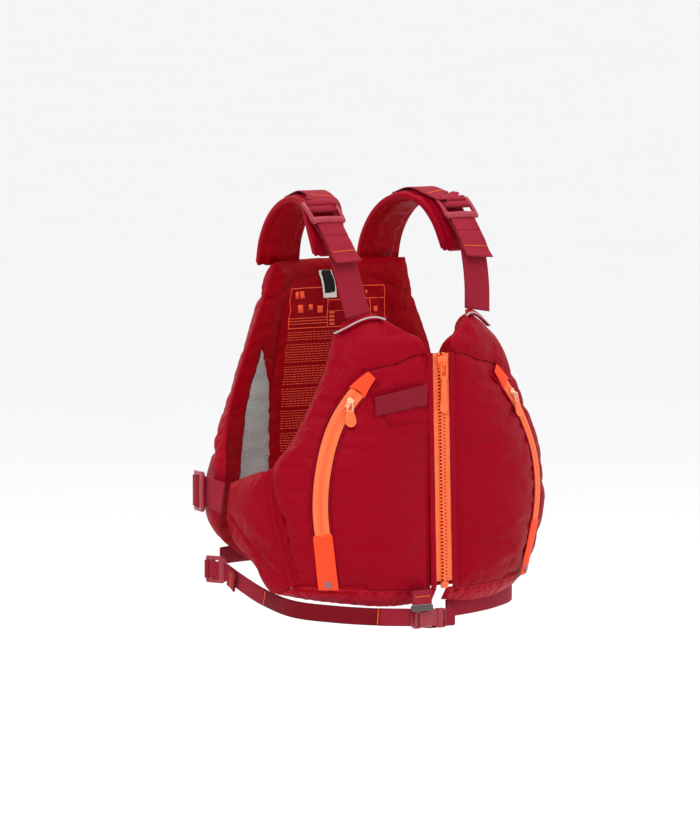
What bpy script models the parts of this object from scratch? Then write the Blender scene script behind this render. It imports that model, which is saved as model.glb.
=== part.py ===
"""Kayak buoyancy aid as it stands on a wearer: foam panels, straps, zips and buckles.

Metres, +Z up. The front faces -Y and the wearer's right is -X. The origin is on the torso's axis,
at the height of the lowest buckle.
"""

import math

import bmesh
import bpy
import numpy as np
from mathutils import Matrix, Vector

SIDES = {"right": -1, "left": 1}
GAP = 0.0004

# The torso's level sections: height, half width, front squareness, back depth, back squareness.
SECTIONS = np.array(
    [
        (0.000, 0.183, 2.10, 0.130, 3.4),
        (0.070, 0.200, 2.35, 0.136, 3.6),
        (0.135, 0.2115, 2.70, 0.142, 3.8),
        (0.200, 0.204, 2.90, 0.143, 3.8),
        (0.270, 0.188, 2.35, 0.142, 3.7),
        (0.340, 0.1665, 1.90, 0.138, 3.3),
        (0.450, 0.129, 1.90, 0.130, 2.8),
    ]
)
FRONT_DEPTH = 0.1382
FRONT_LEAN = 0.021
CHEST_HEIGHT = 0.32
CHEST_LEAN = 1.1
ARC_STEPS = 180

# Panels. The front thins down to its rim, and the back also to its wings.
COVER = 0.0012
LINER = 0.0010
FRONT_THICKNESS = 0.038
BACK_THICKNESS = 0.032
BACK_WING_THICKNESS = 0.016
BACK_WING_START = 0.165
BACK_WING_END = 0.240
RIM_DEPTH = 0.010
ZIP_RIM_DEPTH = 0.0035
RIM_POWER = 12
RIM_STEP = 0.05

# Outlines, as (distance round the section, height). The front's distances start at the zip, and
# the back's at the spine.
ZIP_EDGE = 0.0195
HEM = [(ZIP_EDGE, 0.050), (0.100, 0.053), (0.198, 0.057)]
SIDE_SEAM = [(0.198, 0.057), (0.222, 0.130), (0.240, 0.201)]
ARMHOLE = [(0.240, 0.201), (0.210, 0.233), (0.172, 0.290), (0.137, 0.362)]
NECKLINE = [(ZIP_EDGE, 0.339), (0.024, 0.356), (0.042, 0.365), (0.070, 0.381), (0.137, 0.362)]
WING_TOP = [(0.2445, 0.1990), (0.280, 0.190), (0.323, 0.177)]
WING_END = [(0.328, 0.137), (0.323, 0.177)]
WING_FOOT = [(0.1995, 0.0575), (0.2315, 0.045), (0.267, 0.078), (0.312, 0.108), (0.328, 0.137)]
WING_SEAM = [(0.1995, 0.0575), (0.2250, 0.130), (0.2445, 0.1990)]
GUSSET_TOP = [(ZIP_EDGE, 0.0485), (0.100, 0.0512), (0.160, 0.0535), (0.196, 0.0545), (0.2285, 0.0440)]
GUSSET_FOOT = [(ZIP_EDGE, 0.034), (0.063, 0.030), (0.153, 0.036), (0.2260, 0.0425)]
BACK_FOOT = [(0.0, 0.062), (0.110, 0.066), (0.160, 0.088), (0.215, 0.118), (0.243, 0.140)]
BACK_SIDE = [
    (0.243, 0.140),
    (0.246, 0.165),
    (0.242, 0.185),
    (0.220, 0.218),
    (0.188, 0.262),
    (0.163, 0.335),
    (0.137, 0.400),
    (0.127, 0.446),
]
BACK_TOP = [(0.0, 0.444), (0.127, 0.446)]
WING_SKIN = 0.001
WING_THICKNESS = 0.012
GUSSET_SKIN = 0.006
GUSSET_TUCK = 0.010
GUSSET_THICKNESS = 0.005

# Shoulders, as (sideways, back, up), along the middle of the pad and of each strap.
WEBBING = 0.0016
WIDE_WEB = 0.038
PAD_PATH = [
    (0.077, 0.1165, 0.4475),
    (0.0775, 0.110, 0.470),
    (0.079, 0.092, 0.498),
    (0.081, 0.062, 0.519),
    (0.084, 0.030, 0.5255),
    (0.089, 0.004, 0.518),
    (0.095, -0.013, 0.497),
    (0.098, -0.024, 0.459),
]
PAD_HALF_WIDTHS = [0.030, 0.0295, 0.029, 0.0285, 0.028, 0.027, 0.025, 0.019]
PAD_EDGE = 0.006
PAD_CROWN = 0.015
PAD_WEB_PATH = [
    (0.081, 0.066, 0.5268),
    (0.084, 0.030, 0.5352),
    (0.089, 0.002, 0.5278),
    (0.090, -0.001, 0.5255),
]
STRAP_PATH = [
    (0.1015, -0.0215, 0.5000),
    (0.1015, -0.036, 0.4885),
    (0.101, -0.052, 0.470),
    (0.099, -0.062, 0.447),
    (0.096, -0.071, 0.418),
    (0.091, -0.0785, 0.3865),
]
TAIL_PATH = [(0.1013, -0.0430, 0.4855), (0.101, -0.0545, 0.4715), (0.0995, -0.0645, 0.4490)]
TAIL_THICKNESS = 0.003
PIPING_RADIUS = 0.0013
PIPING_RISE = 0.0022
PIPING_DEPTH = 0.0045
PIPING_ENDS = (0.46, 0.98)

# Ladder locks: the frame's half width and half length, and its two slots.
LOCK_HALF_THICKNESS = 0.002
LOCK_CORNER = 0.004
LOCK_PIVOT = 0.38
SHOULDER_LOCK = (0.025, 0.019)
SIDE_LOCK = (0.025, 0.015)
BELT_LOCK = (0.017, 0.015)
SHOULDER_LOCK_PLACE = (0.1015, -0.0200, 0.5110)
SHOULDER_LOCK_SLOPE = 47
SIDE_LOCK_PLACE = (0.2105, 0.0930, 0.1630)
SIDE_LOCK_TURN = 12
BELT_LOCK_PLACE = (0.1850, 0.0960, 0.0630)
BELT_LOCK_TURN = -20

# Main zip, down the straight front edge. The puller's head is how far it rises past its axis.
ZIP_FOOT = 0.058
ZIP_HEAD = 0.339
TAPE_INNER = 0.0045
TAPE_OUTER = 0.0189
TAPE_DEPTH = 0.0022
TAPE_THICKNESS = 0.0008
TEETH_WIDTH = 0.0038
TEETH_THICKNESS = 0.0028
SLIDER_HEIGHT = 0.326
SLIDER_SIZE = (0.012, 0.0025, 0.020)
SLIDER_CLEARANCE = 0.0008
BAIL_SIZE = (0.003, 0.0040, 0.008)
PULLER_WIDTH = 0.009
PULLER_LENGTH = 0.060
PULLER_HALF_THICKNESS = 0.0010
PULLER_NOTCH = (0.0022, 0.006)
PULLER_HEAD = 0.0015
ZIP_BOX_SIZE = (0.010, 0.004, 0.008)
ZIP_BOX_DROP = 0.0045
JOIN_DEPTH = 0.0005

# Pocket zips: an arc in an upright plane, about a centre across the front's middle line.
ARC_CENTRE = (-0.034, 0.160)
ARC_RADIUS = 0.199
POCKET_HALF_WIDTH = 0.0095
POCKET_RISE = 0.0008
POCKET_TAPE = 0.0010
ZIP_ANGLES = (-11.5, 43.0)
GARAGE_ANGLES = (43.2, 53.0)
TAB_GAP_ANGLE = 0.2
SLIDER_ANGLE = 38.0
SLIDER_LEAN = 27
TAB_FOOT = (0.148, 0.0535)
RIVET_PLACE = (0.1492, 0.0600)
RIVET_RADIUS = 0.005
RIVET_HEIGHT = 0.0022
RIVET_CLEARANCE = 3 * GAP
POCKET_SLIDER_SIZE = (0.009, 0.014, 0.0022)
POCKET_BAIL_SIZE = (0.003, 0.0034, 0.0032)
POCKET_SLIDER_CLEARANCE = 0.0032
POCKET_AXIS_RISE = 0.0008
POCKET_PULLER_HEAD = 0.0012
POCKET_PULLER_NOTCH = (0.0026, 0.006)
POCKET_PULLER_SIDE = [(0.0045, -0.014), (0.0062, -0.021), (0.0045, -0.0275)]
POCKET_PULLER_FOOT = -0.030

# Patch, belts and buckle.
PATCH_PLACE = (0.0605, 0.2835)
PATCH_HALF_WIDTH = 0.0345
PATCH_HALF_HEIGHT = 0.0120
PATCH_SLANT = 0.0060
PATCH_THICKNESS = 0.0016
SIDE_STRAP_PATH = [(0.2085, 0.0815, 0.163), (0.2105, 0.062, 0.161), (0.2075, 0.0445, 0.158)]
BELT_WEB = 0.022
BELT_PATHS = {
    "right": [
        (0.1800, 0.0760, 0.0600),
        (0.1835, 0.0400, 0.0510),
        (0.1815, -0.0050, 0.0380),
        (0.1720, -0.0550, 0.0275),
        (0.1400, -0.0990, 0.0230),
        (0.0950, -0.1230, 0.0190),
        (0.0485, -0.1335, 0.0160),
    ],
    "left": [
        (0.1800, 0.0760, 0.0600),
        (0.1835, 0.0400, 0.0510),
        (0.1815, -0.0050, 0.0370),
        (0.1620, -0.0560, 0.0270),
        (0.1200, -0.0850, 0.0240),
        (0.0700, -0.1040, 0.0220),
        (0.0200, -0.1110, 0.0200),
    ],
}
BELT_BACK_HEIGHT = 0.076
BELT_BACK_DEPTH = -0.0035
BELT_BACK_REACH = 0.165
SOCKET_SIZE = (0.034, 0.010, 0.024)
SOCKET_PLACE = (-0.0305, -0.1355, 0.0130)
CAVITY_SIZE = (0.026, 0.0060, 0.016)
PLUG_BASE_SIZE = (0.013, 0.009, 0.024)
TONGUE_SIZE = (0.022, 0.0040, 0.014)
PLUG_GAP = 0.0006
LOOP_LENGTH = 0.014
LOOP_THICKNESS = 0.0040
DROP_TAB_SIZE = (0.030, 0.0020, 0.018)
DROP_TAB_PLACE = (-0.040, -0.1440, 0.0415)
CLIP_SIZE = (0.032, 0.0050, 0.008)


def smooth(knots, values, at):
    """Cubic through the values, whose slope at each knot comes from its neighbours."""
    slopes = np.gradient(values, knots, axis=0)
    at = min(max(at, knots[0]), knots[-1])
    left = int(min(max(np.searchsorted(knots, at) - 1, 0), len(knots) - 2))
    width = knots[left + 1] - knots[left]
    t = (at - knots[left]) / width
    start = (2 * t**3 - 3 * t**2 + 1) * values[left] + (t**3 - 2 * t**2 + t) * width * slopes[left]
    end = (3 * t**2 - 2 * t**3) * values[left + 1] + (t**3 - t**2) * width * slopes[left + 1]
    return start + end


def along(points, share):
    """The point at a share of the length of a smooth line through these points."""
    points = np.array(points, float)
    steps = np.linalg.norm(np.diff(points, axis=0), axis=1)
    knots = np.concatenate([[0], np.cumsum(steps)])
    if len(points) == 2:
        return points[0] + (points[1] - points[0]) * share
    return smooth(knots, points, share * knots[-1])


def front_depth(height):
    lean = CHEST_LEAN * max(height - CHEST_HEIGHT, 0) ** 1.5
    return FRONT_DEPTH - FRONT_LEAN * height - lean


ZIP_LEAN = (front_depth(ZIP_FOOT) - front_depth(ZIP_HEAD)) / (ZIP_HEAD - ZIP_FOOT)


def section(height):
    """Half of a level section, from the zip to the spine: points, and the distance to each."""
    values = smooth(SECTIONS[:, 0], SECTIONS, height)
    _, half_width, front_square, back_depth, back_square = values
    angles = np.linspace(0, math.pi, ARC_STEPS + 1)
    cosines, sines = np.cos(angles), np.abs(np.sin(angles))
    squareness = np.where(cosines > 0, front_square, back_square)
    depth = np.where(cosines > 0, front_depth(height), back_depth)
    across = half_width * sines ** (2 / squareness)
    forward = depth * np.sign(cosines) * np.abs(cosines) ** (2 / squareness)
    steps = np.hypot(np.diff(across), np.diff(forward))
    return across, -forward, np.concatenate([[0], np.cumsum(steps)])


def torso(distance, height, depth, side):
    """A point this far round the section from the zip, and this deep under the outer skin."""
    across, back, lengths = section(height)
    reach = 0.004
    ends = []
    for at in (distance - reach, distance, distance + reach):
        sign = -1 if at < 0 or at > lengths[-1] else 1
        folded = abs(at) if at < 0 else min(at, 2 * lengths[-1] - at)
        ends.append((sign * np.interp(folded, lengths, across), np.interp(folded, lengths, back)))
    before, here, after = (np.array(end) for end in ends)
    tangent = (after - before) / np.linalg.norm(after - before)
    inward = np.array([-tangent[1], tangent[0]])
    x, y = here + inward * depth
    return Vector((side * x, y, height))


def spine(distance, height, depth):
    """As torso, with the distance measured from the spine: negative to the wearer's right."""
    half = section(height)[2][-1]
    return torso(half - abs(distance), height, depth, math.copysign(1, distance))


def skin_distance(sideways, height):
    """The distance round the front's section at which it is this far from the middle."""
    across, _, lengths = section(height)
    front = slice(0, ARC_STEPS // 2 + 1)
    return float(np.interp(sideways, across[front], lengths[front]))


def skin_frame(sideways, height, rise, side):
    """A matrix on the front's skin: X to the wearer's left, Y up the skin, Z out of it."""
    distance = skin_distance(sideways, height)
    here = torso(distance, height, -rise, side)
    out = (here - torso(distance, height, 0.01, side)).normalized()
    up = (torso(distance, height + 0.01, -rise, side) - here).normalized()
    return frame_at(here, up, out)


def frame_at(origin, up, out):
    """A matrix whose Z is out, whose Y is up as nearly as Z allows, and whose X follows."""
    out = Vector(out).normalized()
    right = Vector(up).cross(out).normalized()
    turned = Matrix((right, out.cross(right), out)).transposed().to_4x4()
    return Matrix.Translation(origin) @ turned


def patch(foot, head, inner, outer):
    """A blend of four border lines: a function of two shares, across and up."""

    def at(u, v):
        sides = (1 - u) * along(inner, v) + u * along(outer, v)
        ends = (1 - v) * along(foot, u) + v * along(head, u)
        corners = (1 - v) * ((1 - u) * np.array(foot[0]) + u * np.array(foot[-1]))
        corners = corners + v * ((1 - u) * np.array(head[0]) + u * np.array(head[-1]))
        return sides + ends - corners

    return at


def rim(u, v):
    """0 inside a panel, rising to 1 at its outline."""
    return max(abs(2 * u - 1), abs(2 * v - 1)) ** RIM_POWER


def shares(count):
    """Shares from 0 to 1 in this many steps, of which the first and last are short."""
    inside = np.linspace(RIM_STEP, 1 - RIM_STEP, count - 1)
    return np.concatenate([[0], inside, [1]])


def make_material(name, colour, roughness, metallic=0.0):
    material = bpy.data.materials.new(name)
    material.use_nodes = True
    shader = material.node_tree.nodes["Principled BSDF"]
    shader.inputs["Base Color"].default_value = (*colour, 1)
    shader.inputs["Roughness"].default_value = roughness
    shader.inputs["Metallic"].default_value = metallic
    return material


def add_object(name, data, material):
    obj = bpy.data.objects.new(name, data)
    obj.data.materials.append(material)
    PARTS.objects.link(obj)
    return obj


def add_mesh(name, mesh, material):
    data = bpy.data.meshes.new(name)
    bmesh.ops.recalc_face_normals(mesh, faces=mesh.faces)
    if mesh.calc_volume(signed=True) < 0:
        bmesh.ops.reverse_faces(mesh, faces=mesh.faces)
    mesh.to_mesh(data)
    mesh.free()
    return add_object(name, data, material)


def slab(name, place, across, upward, material):
    """A grid doubled through its thickness: place(u, v, w) puts each corner, w being 0 or 1."""
    mesh = bmesh.new()
    columns, rows = len(across) - 1, len(upward) - 1
    bmesh.ops.create_grid(mesh, x_segments=columns, y_segments=rows, size=0.5)
    mesh.verts.ensure_lookup_table()
    first = list(mesh.verts)
    grown = bmesh.ops.extrude_face_region(mesh, geom=mesh.faces[:])["geom"]
    second = [item for item in grown if isinstance(item, bmesh.types.BMVert)]
    for w, verts in enumerate((first, second)):
        for vert in verts:
            u = across[round((vert.co.x + 0.5) * columns)]
            v = upward[round((vert.co.y + 0.5) * rows)]
            vert.co = place(u, v, w)
    return add_mesh(name, mesh, material)


def box(name, size, matrix, material, bevel=0.0):
    mesh = bmesh.new()
    bmesh.ops.create_cube(mesh, size=1)
    bmesh.ops.scale(mesh, vec=size, verts=mesh.verts)
    obj = add_mesh(name, mesh, material)
    obj.matrix_world = matrix
    if bevel:
        rounding = obj.modifiers.new("Bevel", "BEVEL")
        rounding.width = bevel
        rounding.segments = 1
    return obj


def plate(name, outlines, half_thickness, matrix, material):
    """Flat outlines, of which the inner ones are holes, given a thickness."""
    curve = bpy.data.curves.new(name, "CURVE")
    curve.dimensions = "2D"
    curve.fill_mode = "BOTH"
    curve.extrude = half_thickness
    for outline in outlines:
        spline = curve.splines.new("POLY")
        spline.points.add(len(outline) - 1)
        for point, (x, y) in zip(spline.points, outline):
            point.co = (x, y, 0, 1)
        spline.use_cyclic_u = True
    obj = add_object(name, curve, material)
    obj.matrix_world = matrix
    return obj


def ribbon(name, path, width, thickness, side, material, steps=8, turn=None):
    """Webbing along a path. Its width lies along X, or upright where turn says so."""
    points = [(side * x, y, z) for x, y, z in path]

    def place(u, v, w):
        here = Vector(along(points, v))
        ahead = Vector(along(points, min(v + 0.02, 1))) - Vector(along(points, max(v - 0.02, 0)))
        lengthwise = ahead.normalized()
        if turn == "upright":
            widthwise = Vector((0, 0, 1))
        else:
            widthwise = Vector((1, 0, 0))
        widthwise = (widthwise - lengthwise * widthwise.dot(lengthwise)).normalized()
        out = lengthwise.cross(widthwise)
        return here + widthwise * (u - 0.5) * width + out * (w - 0.5) * thickness

    return slab(name, place, (0, 0.5, 1), np.linspace(0, 1, steps + 1), material)


def pivot(name, place, *pieces):
    """An empty on a joint's axis, with the pieces that turn or slide on it as its children."""
    empty = bpy.data.objects.new(name, None)
    empty.location = place
    PARTS.objects.link(empty)
    for piece in pieces:
        piece.parent = empty
        piece.matrix_parent_inverse = Matrix.Translation(place).inverted()


def layered_panel(name, put, outline, thickness, zip_side, columns, rows, fills):
    """A cover, the foam inside its rim and a liner, on one grid so that their facets match."""
    across, upward = shares(columns), shares(rows)

    def rim_depth(u):
        return ZIP_RIM_DEPTH if zip_side and u < 0.5 else RIM_DEPTH

    def cover(u, v, w):
        distance, height = outline(u, v)
        return put(distance, height, rim_depth(u) * rim(u, v) + w * COVER)

    def lining_depth(u, v):
        distance, _ = outline(u, v)
        inside = thickness(distance) - LINER
        at_rim = rim_depth(u) + COVER + GAP
        return inside + (at_rim - inside) * rim(u, v)

    def liner(u, v, w):
        distance, height = outline(u, v)
        return put(distance, height, lining_depth(u, v) + w * LINER)

    def foam(u, v, w):
        distance, height = outline(u, v)
        outer = rim_depth(u) * rim(u, v) + COVER + GAP
        inner = lining_depth(u, v) - GAP
        return put(distance, height, outer + w * (inner - outer))

    shell, padding, lining = fills
    slab(name.format("cover"), cover, across, upward, shell)
    slab(name.format("foam"), foam, across[1:-1], upward[1:-1], padding)
    slab(name.format("liner"), liner, across, upward, lining)


def front_panel(label, side):
    outline = patch(HEM, NECKLINE, [HEM[0], NECKLINE[0]], SIDE_SEAM + ARMHOLE[1:])

    def put(distance, height, depth):
        return torso(distance, height, depth, side)

    fills = (SHELL, FOAM, LINING)
    name = "front_{}_" + label
    layered_panel(name, put, outline, lambda _: FRONT_THICKNESS, True, 8, 10, fills)


def back_panel():
    def mirrored(points):
        return [(-distance, height) for distance, height in points]

    foot = mirrored(BACK_FOOT)[:0:-1] + BACK_FOOT
    head = mirrored(BACK_TOP)[:0:-1] + BACK_TOP
    outline = patch(foot, head, mirrored(BACK_SIDE), BACK_SIDE)

    def thickness(distance):
        share = (abs(distance) - BACK_WING_START) / (BACK_WING_END - BACK_WING_START)
        share = min(max(share, 0), 1)
        return BACK_THICKNESS + (BACK_WING_THICKNESS - BACK_THICKNESS) * share

    layered_panel("back_{}", spine, outline, thickness, False, 14, 10, (SHELL, FOAM, LINING))


def side_wing(label, side):
    outline = patch(WING_FOOT, WING_TOP, WING_SEAM, WING_END)

    def place(u, v, w):
        distance, height = outline(u, v)
        thinning = WING_THICKNESS / 3 * rim(u, v)
        depth = WING_SKIN + thinning + w * (WING_THICKNESS - 2 * thinning)
        return torso(distance, height, depth, side)

    slab("side_wing_" + label, place, shares(6), shares(5), SHELL)


def hem_gusset(label, side):
    def place(u, v, w):
        distance, height = (1 - v) * along(GUSSET_FOOT, u) + v * along(GUSSET_TOP, u)
        depth = GUSSET_SKIN + GUSSET_TUCK * (1 - v) + w * GUSSET_THICKNESS
        return torso(distance, height, depth, side)

    slab("hem_gusset_" + label, place, np.linspace(0, 1, 9), (0, 0.5, 1), SHELL)


def shoulder_pad(label, side):
    def place(u, v, w):
        here = Vector(along(PAD_PATH, v))
        ahead = Vector(along(PAD_PATH, min(v + 0.02, 1))) - Vector(along(PAD_PATH, max(v - 0.02, 0)))
        out = ahead.normalized().cross(Vector((1, 0, 0))).normalized()
        half_width = smooth(np.linspace(0, 1, len(PAD_HALF_WIDTHS)), np.array(PAD_HALF_WIDTHS), v)
        sideways = 2 * u - 1
        thickness = PAD_EDGE + (PAD_CROWN - PAD_EDGE) * (1 - sideways**4)
        here = here + Vector((sideways * half_width, 0, 0)) + out * (w - 0.5) * thickness
        return Vector((side * here.x, here.y, here.z))

    slab("shoulder_pad_" + label, place, np.linspace(0, 1, 7), np.linspace(0, 1, 15), SHELL)


def piping(label, side):
    curve = bpy.data.curves.new("piping_" + label, "CURVE")
    curve.dimensions = "3D"
    curve.bevel_depth = PIPING_RADIUS
    curve.bevel_resolution = 1
    curve.use_fill_caps = True
    stops = np.linspace(*PIPING_ENDS, 9)
    spline = curve.splines.new("POLY")
    spline.points.add(len(stops) - 1)
    for point, share in zip(spline.points, stops):
        distance, height = along(NECKLINE, share)
        point.co = (*torso(distance, height + PIPING_RISE, PIPING_DEPTH, side), 1)
    add_object("piping_" + label, curve, REFLECTIVE)


def lock_outlines(half_width, half_length):
    """A ladder lock's frame with cut corners, and its two slots."""
    x, y, corner = half_width, half_length, LOCK_CORNER
    frame = [(x - corner, y), (x, y - corner), (x, corner - y), (x - corner, -y)]
    frame += [(-across, up) for across, up in reversed(frame)]
    slot = x - 1.2 * corner
    holes = []
    for low, high in ((0.45, 0.70), (-0.55, 0.05)):
        holes.append([(-slot, low * y), (slot, low * y), (slot, high * y), (-slot, high * y)])
    return [frame] + holes


def ladder_lock(name, size, matrix):
    """A lock whose bar, LOCK_PIVOT of its length above its middle, is the tilt's axis."""
    obj = plate(name, lock_outlines(*size), LOCK_HALF_THICKNESS, matrix, LOCKS)
    axis_place = matrix @ Vector((0, 2 * LOCK_PIVOT * size[1], 0))
    pivot(name + "_axis", axis_place, obj)


def shoulder(label, side):
    shoulder_pad(label, side)
    ribbon("pad_webbing_" + label, PAD_WEB_PATH, WIDE_WEB, WEBBING, side, WEB, steps=6)
    ribbon("front_webbing_" + label, STRAP_PATH, WIDE_WEB, WEBBING, side, WEB, steps=8)
    ribbon("strap_tail_" + label, TAIL_PATH, WIDE_WEB, TAIL_THICKNESS, side, WEB, steps=3)
    slope = math.radians(SHOULDER_LOCK_SLOPE)
    x, y, z = SHOULDER_LOCK_PLACE
    up = (0, math.sin(slope), math.cos(slope))
    out = (0, -math.cos(slope), math.sin(slope))
    ladder_lock("shoulder_lock_" + label, SHOULDER_LOCK, frame_at((side * x, y, z), up, out))
    piping(label, side)


def upright_lock(name, size, place, turn, side):
    """A lock with its slots upright, at the jacket's side, pivoting at its rear bar."""
    turn = math.radians(turn)
    x, y, z = place
    rearward = (-side * math.sin(turn), math.cos(turn), 0)
    out = (side * math.cos(turn), math.sin(turn), 0)
    ladder_lock(name, size, frame_at((side * x, y, z), rearward, out))


def straps(label, side):
    web = {"material": WEB, "turn": "upright"}
    ribbon("side_strap_" + label, SIDE_STRAP_PATH, WIDE_WEB, WEBBING, side, steps=3, **web)
    ribbon("belt_strap_" + label, BELT_PATHS[label], BELT_WEB, WEBBING, side, steps=14, **web)
    upright_lock("side_lock_" + label, SIDE_LOCK, SIDE_LOCK_PLACE, SIDE_LOCK_TURN, side)
    upright_lock("belt_lock_" + label, BELT_LOCK, BELT_LOCK_PLACE, BELT_LOCK_TURN, side)


def belt_back():
    def place(u, v, w):
        distance = (2 * v - 1) * BELT_BACK_REACH
        height = BELT_BACK_HEIGHT + (u - 0.5) * BELT_WEB
        return spine(distance, height, BELT_BACK_DEPTH + w * WEBBING)

    slab("belt_back", place, (0, 1), np.linspace(0, 1, 17), WEB)


def zip_line(height, depth):
    """A point this deep under the main zip's straight front face."""
    return Vector((0, ZIP_LEAN * (height - ZIP_FOOT) - front_depth(ZIP_FOOT) + depth, height))


def zip_strip(name, side, inner, outer, depth, thickness, material):
    def place(u, v, w):
        height = ZIP_FOOT + (ZIP_HEAD - ZIP_FOOT) * v
        sideways = side * (inner + (outer - inner) * u)
        return zip_line(height, depth + w * thickness) + Vector((sideways, 0, 0))

    slab(name, place, (0, 1), (0, 1), material)


def main_zip():
    for label, side in SIDES.items():
        strip = (TAPE_INNER, TAPE_OUTER, TAPE_DEPTH, TAPE_THICKNESS, ZIP_TAPE)
        zip_strip("zip_tape_" + label, side, *strip)
        strip = (GAP / 2, GAP / 2 + TEETH_WIDTH, 0, TEETH_THICKNESS, ORANGE)
        zip_strip("zip_teeth_" + label, side, *strip)
    foot = zip_line(ZIP_FOOT - ZIP_BOX_DROP, TEETH_THICKNESS / 2)
    box("zip_box", ZIP_BOX_SIZE, Matrix.Translation(foot), ORANGE, bevel=0.0008)


def main_slider():
    """The slider, its bail, and the puller that hangs from the bail."""
    thickness, bail_depth = SLIDER_SIZE[1], BAIL_SIZE[1]
    lean = Matrix.Rotation(-math.atan(ZIP_LEAN), 4, "X")
    centre = zip_line(SLIDER_HEIGHT, -SLIDER_CLEARANCE - thickness / 2)
    matrix = Matrix.Translation(centre) @ lean
    slider = box("zip_slider", SLIDER_SIZE, matrix, METAL)
    bail_place = Matrix.Translation((0, JOIN_DEPTH - (thickness + bail_depth) / 2, 0))
    join(slider, box("bail", BAIL_SIZE, matrix @ bail_place, METAL), "UNION")
    axis_place = zip_line(SLIDER_HEIGHT, -SLIDER_CLEARANCE - thickness - bail_depth / 2)
    x, foot = PULLER_WIDTH / 2, -PULLER_LENGTH
    side = [(x, foot + x), (x / 2, foot)]
    outline = puller_outline(PULLER_HEAD, side, PULLER_NOTCH)
    facing = frame_at(axis_place, (0, 0, 1), (0, -1, 0))
    puller = plate("zip_puller", [outline], PULLER_HALF_THICKNESS, facing, ORANGE)
    pivot("puller_axis", axis_place, puller)


def puller_outline(head, side, notch):
    """A puller from its head down one side, up the other, and round the notch for the bail."""
    half_width, drop = notch
    right = [(side[0][0], head)] + side
    left = [(-x, y) for x, y in reversed(right)]
    slot = [(-half_width, head), (-half_width, -drop), (half_width, -drop), (half_width, head)]
    return right + left + slot


def join(target, other, operation):
    """Unites another mesh with the target, or cuts it out, and leaves it as a cutter."""
    PARTS.objects.unlink(other)
    CUTTERS.objects.link(other)
    other.hide_render = True
    other.display_type = "WIRE"
    boolean = target.modifiers.new("Boolean", "BOOLEAN")
    boolean.operation = operation
    boolean.object = other


def arc_point(angle, radius):
    """(sideways, height) on the pocket zip's arc."""
    turn = math.radians(angle)
    sideways = ARC_CENTRE[0] + radius * math.cos(turn)
    return sideways, ARC_CENTRE[1] + radius * math.sin(turn)


def on_skin(sideways, height, rise, side):
    return torso(skin_distance(sideways, height), height, -rise, side)


def arc_strip(name, angles, taper, steps, side, material):
    """Tape on the skin along the pocket arc. Taper is how much narrower its upper end is."""

    def place(u, v, w):
        half_width = POCKET_HALF_WIDTH * (1 - taper * v)
        radius = ARC_RADIUS + (2 * u - 1) * half_width
        angle = angles[0] + (angles[1] - angles[0]) * v
        return on_skin(*arc_point(angle, radius), POCKET_RISE + w * POCKET_TAPE, side)

    slab(name, place, (0, 0.5, 1), np.linspace(0, 1, steps + 1), material)


def pocket(label, side):
    arc_strip("pocket_zip_" + label, ZIP_ANGLES, 0, 10, side, ZIP_TAPE)
    arc_strip("pocket_garage_" + label, GARAGE_ANGLES, 0.85, 3, side, TAPE_PATCH)

    def place(u, v, w):
        offset = (2 * u - 1) * POCKET_HALF_WIDTH
        head = np.array(arc_point(ZIP_ANGLES[0] - TAB_GAP_ANGLE, ARC_RADIUS + offset))
        foot = np.array((TAB_FOOT[0] + offset, TAB_FOOT[1]))
        return on_skin(*(foot + (head - foot) * v), POCKET_RISE + w * POCKET_TAPE, side)

    slab("pocket_tab_" + label, place, (0, 0.5, 1), np.linspace(0, 1, 5), TAPE_PATCH)
    rivet_rise = POCKET_RISE + POCKET_TAPE + RIVET_CLEARANCE + RIVET_HEIGHT / 2
    mesh = bmesh.new()
    radii = {"radius1": RIVET_RADIUS, "radius2": 0.7 * RIVET_RADIUS}
    bmesh.ops.create_cone(mesh, cap_ends=True, segments=16, depth=RIVET_HEIGHT, **radii)
    rivet = add_mesh("pocket_rivet_" + label, mesh, LOCKS)
    rivet.matrix_world = skin_frame(*RIVET_PLACE, rivet_rise, side)
    pocket_slider(label, side)


def pocket_slider(label, side):
    sideways, height = arc_point(SLIDER_ANGLE, ARC_RADIUS)
    thickness, bail_height = POCKET_SLIDER_SIZE[2], POCKET_BAIL_SIZE[2]
    here = on_skin(sideways, height, POCKET_SLIDER_CLEARANCE + thickness / 2, side)
    turn, lean = math.radians(SLIDER_ANGLE), math.radians(SLIDER_LEAN)
    up = (-side * math.sin(turn), 0, math.cos(turn))
    out = (side * math.sin(lean) * math.cos(turn), -math.cos(lean), 0.5 * math.sin(lean))
    matrix = frame_at(here, up, out)
    slider = box("pocket_slider_" + label, POCKET_SLIDER_SIZE, matrix, METAL, bevel=0.0006)
    bail_rise = (thickness + bail_height) / 2 - JOIN_DEPTH
    bail_matrix = matrix @ Matrix.Translation((0, 0, bail_rise))
    join(slider, box("pocket_bail_" + label, POCKET_BAIL_SIZE, bail_matrix, METAL), "UNION")
    centre = (side * ARC_CENTRE[0], here.y, ARC_CENTRE[1])
    pivot("pocket_arc_" + label, centre, slider)
    axis_place = matrix @ Vector((0, 0, bail_rise + POCKET_AXIS_RISE))
    hanging = frame_at(axis_place, (0, 0, 1), matrix.to_3x3() @ Vector((0, 0, 1)))
    side_line = POCKET_PULLER_SIDE + [(0.001, POCKET_PULLER_FOOT)]
    outline = puller_outline(POCKET_PULLER_HEAD, side_line, POCKET_PULLER_NOTCH)
    puller = plate("pocket_puller_" + label, [outline], PULLER_HALF_THICKNESS, hanging, ORANGE)
    pivot("pocket_puller_axis_" + label, axis_place, puller)


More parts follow.
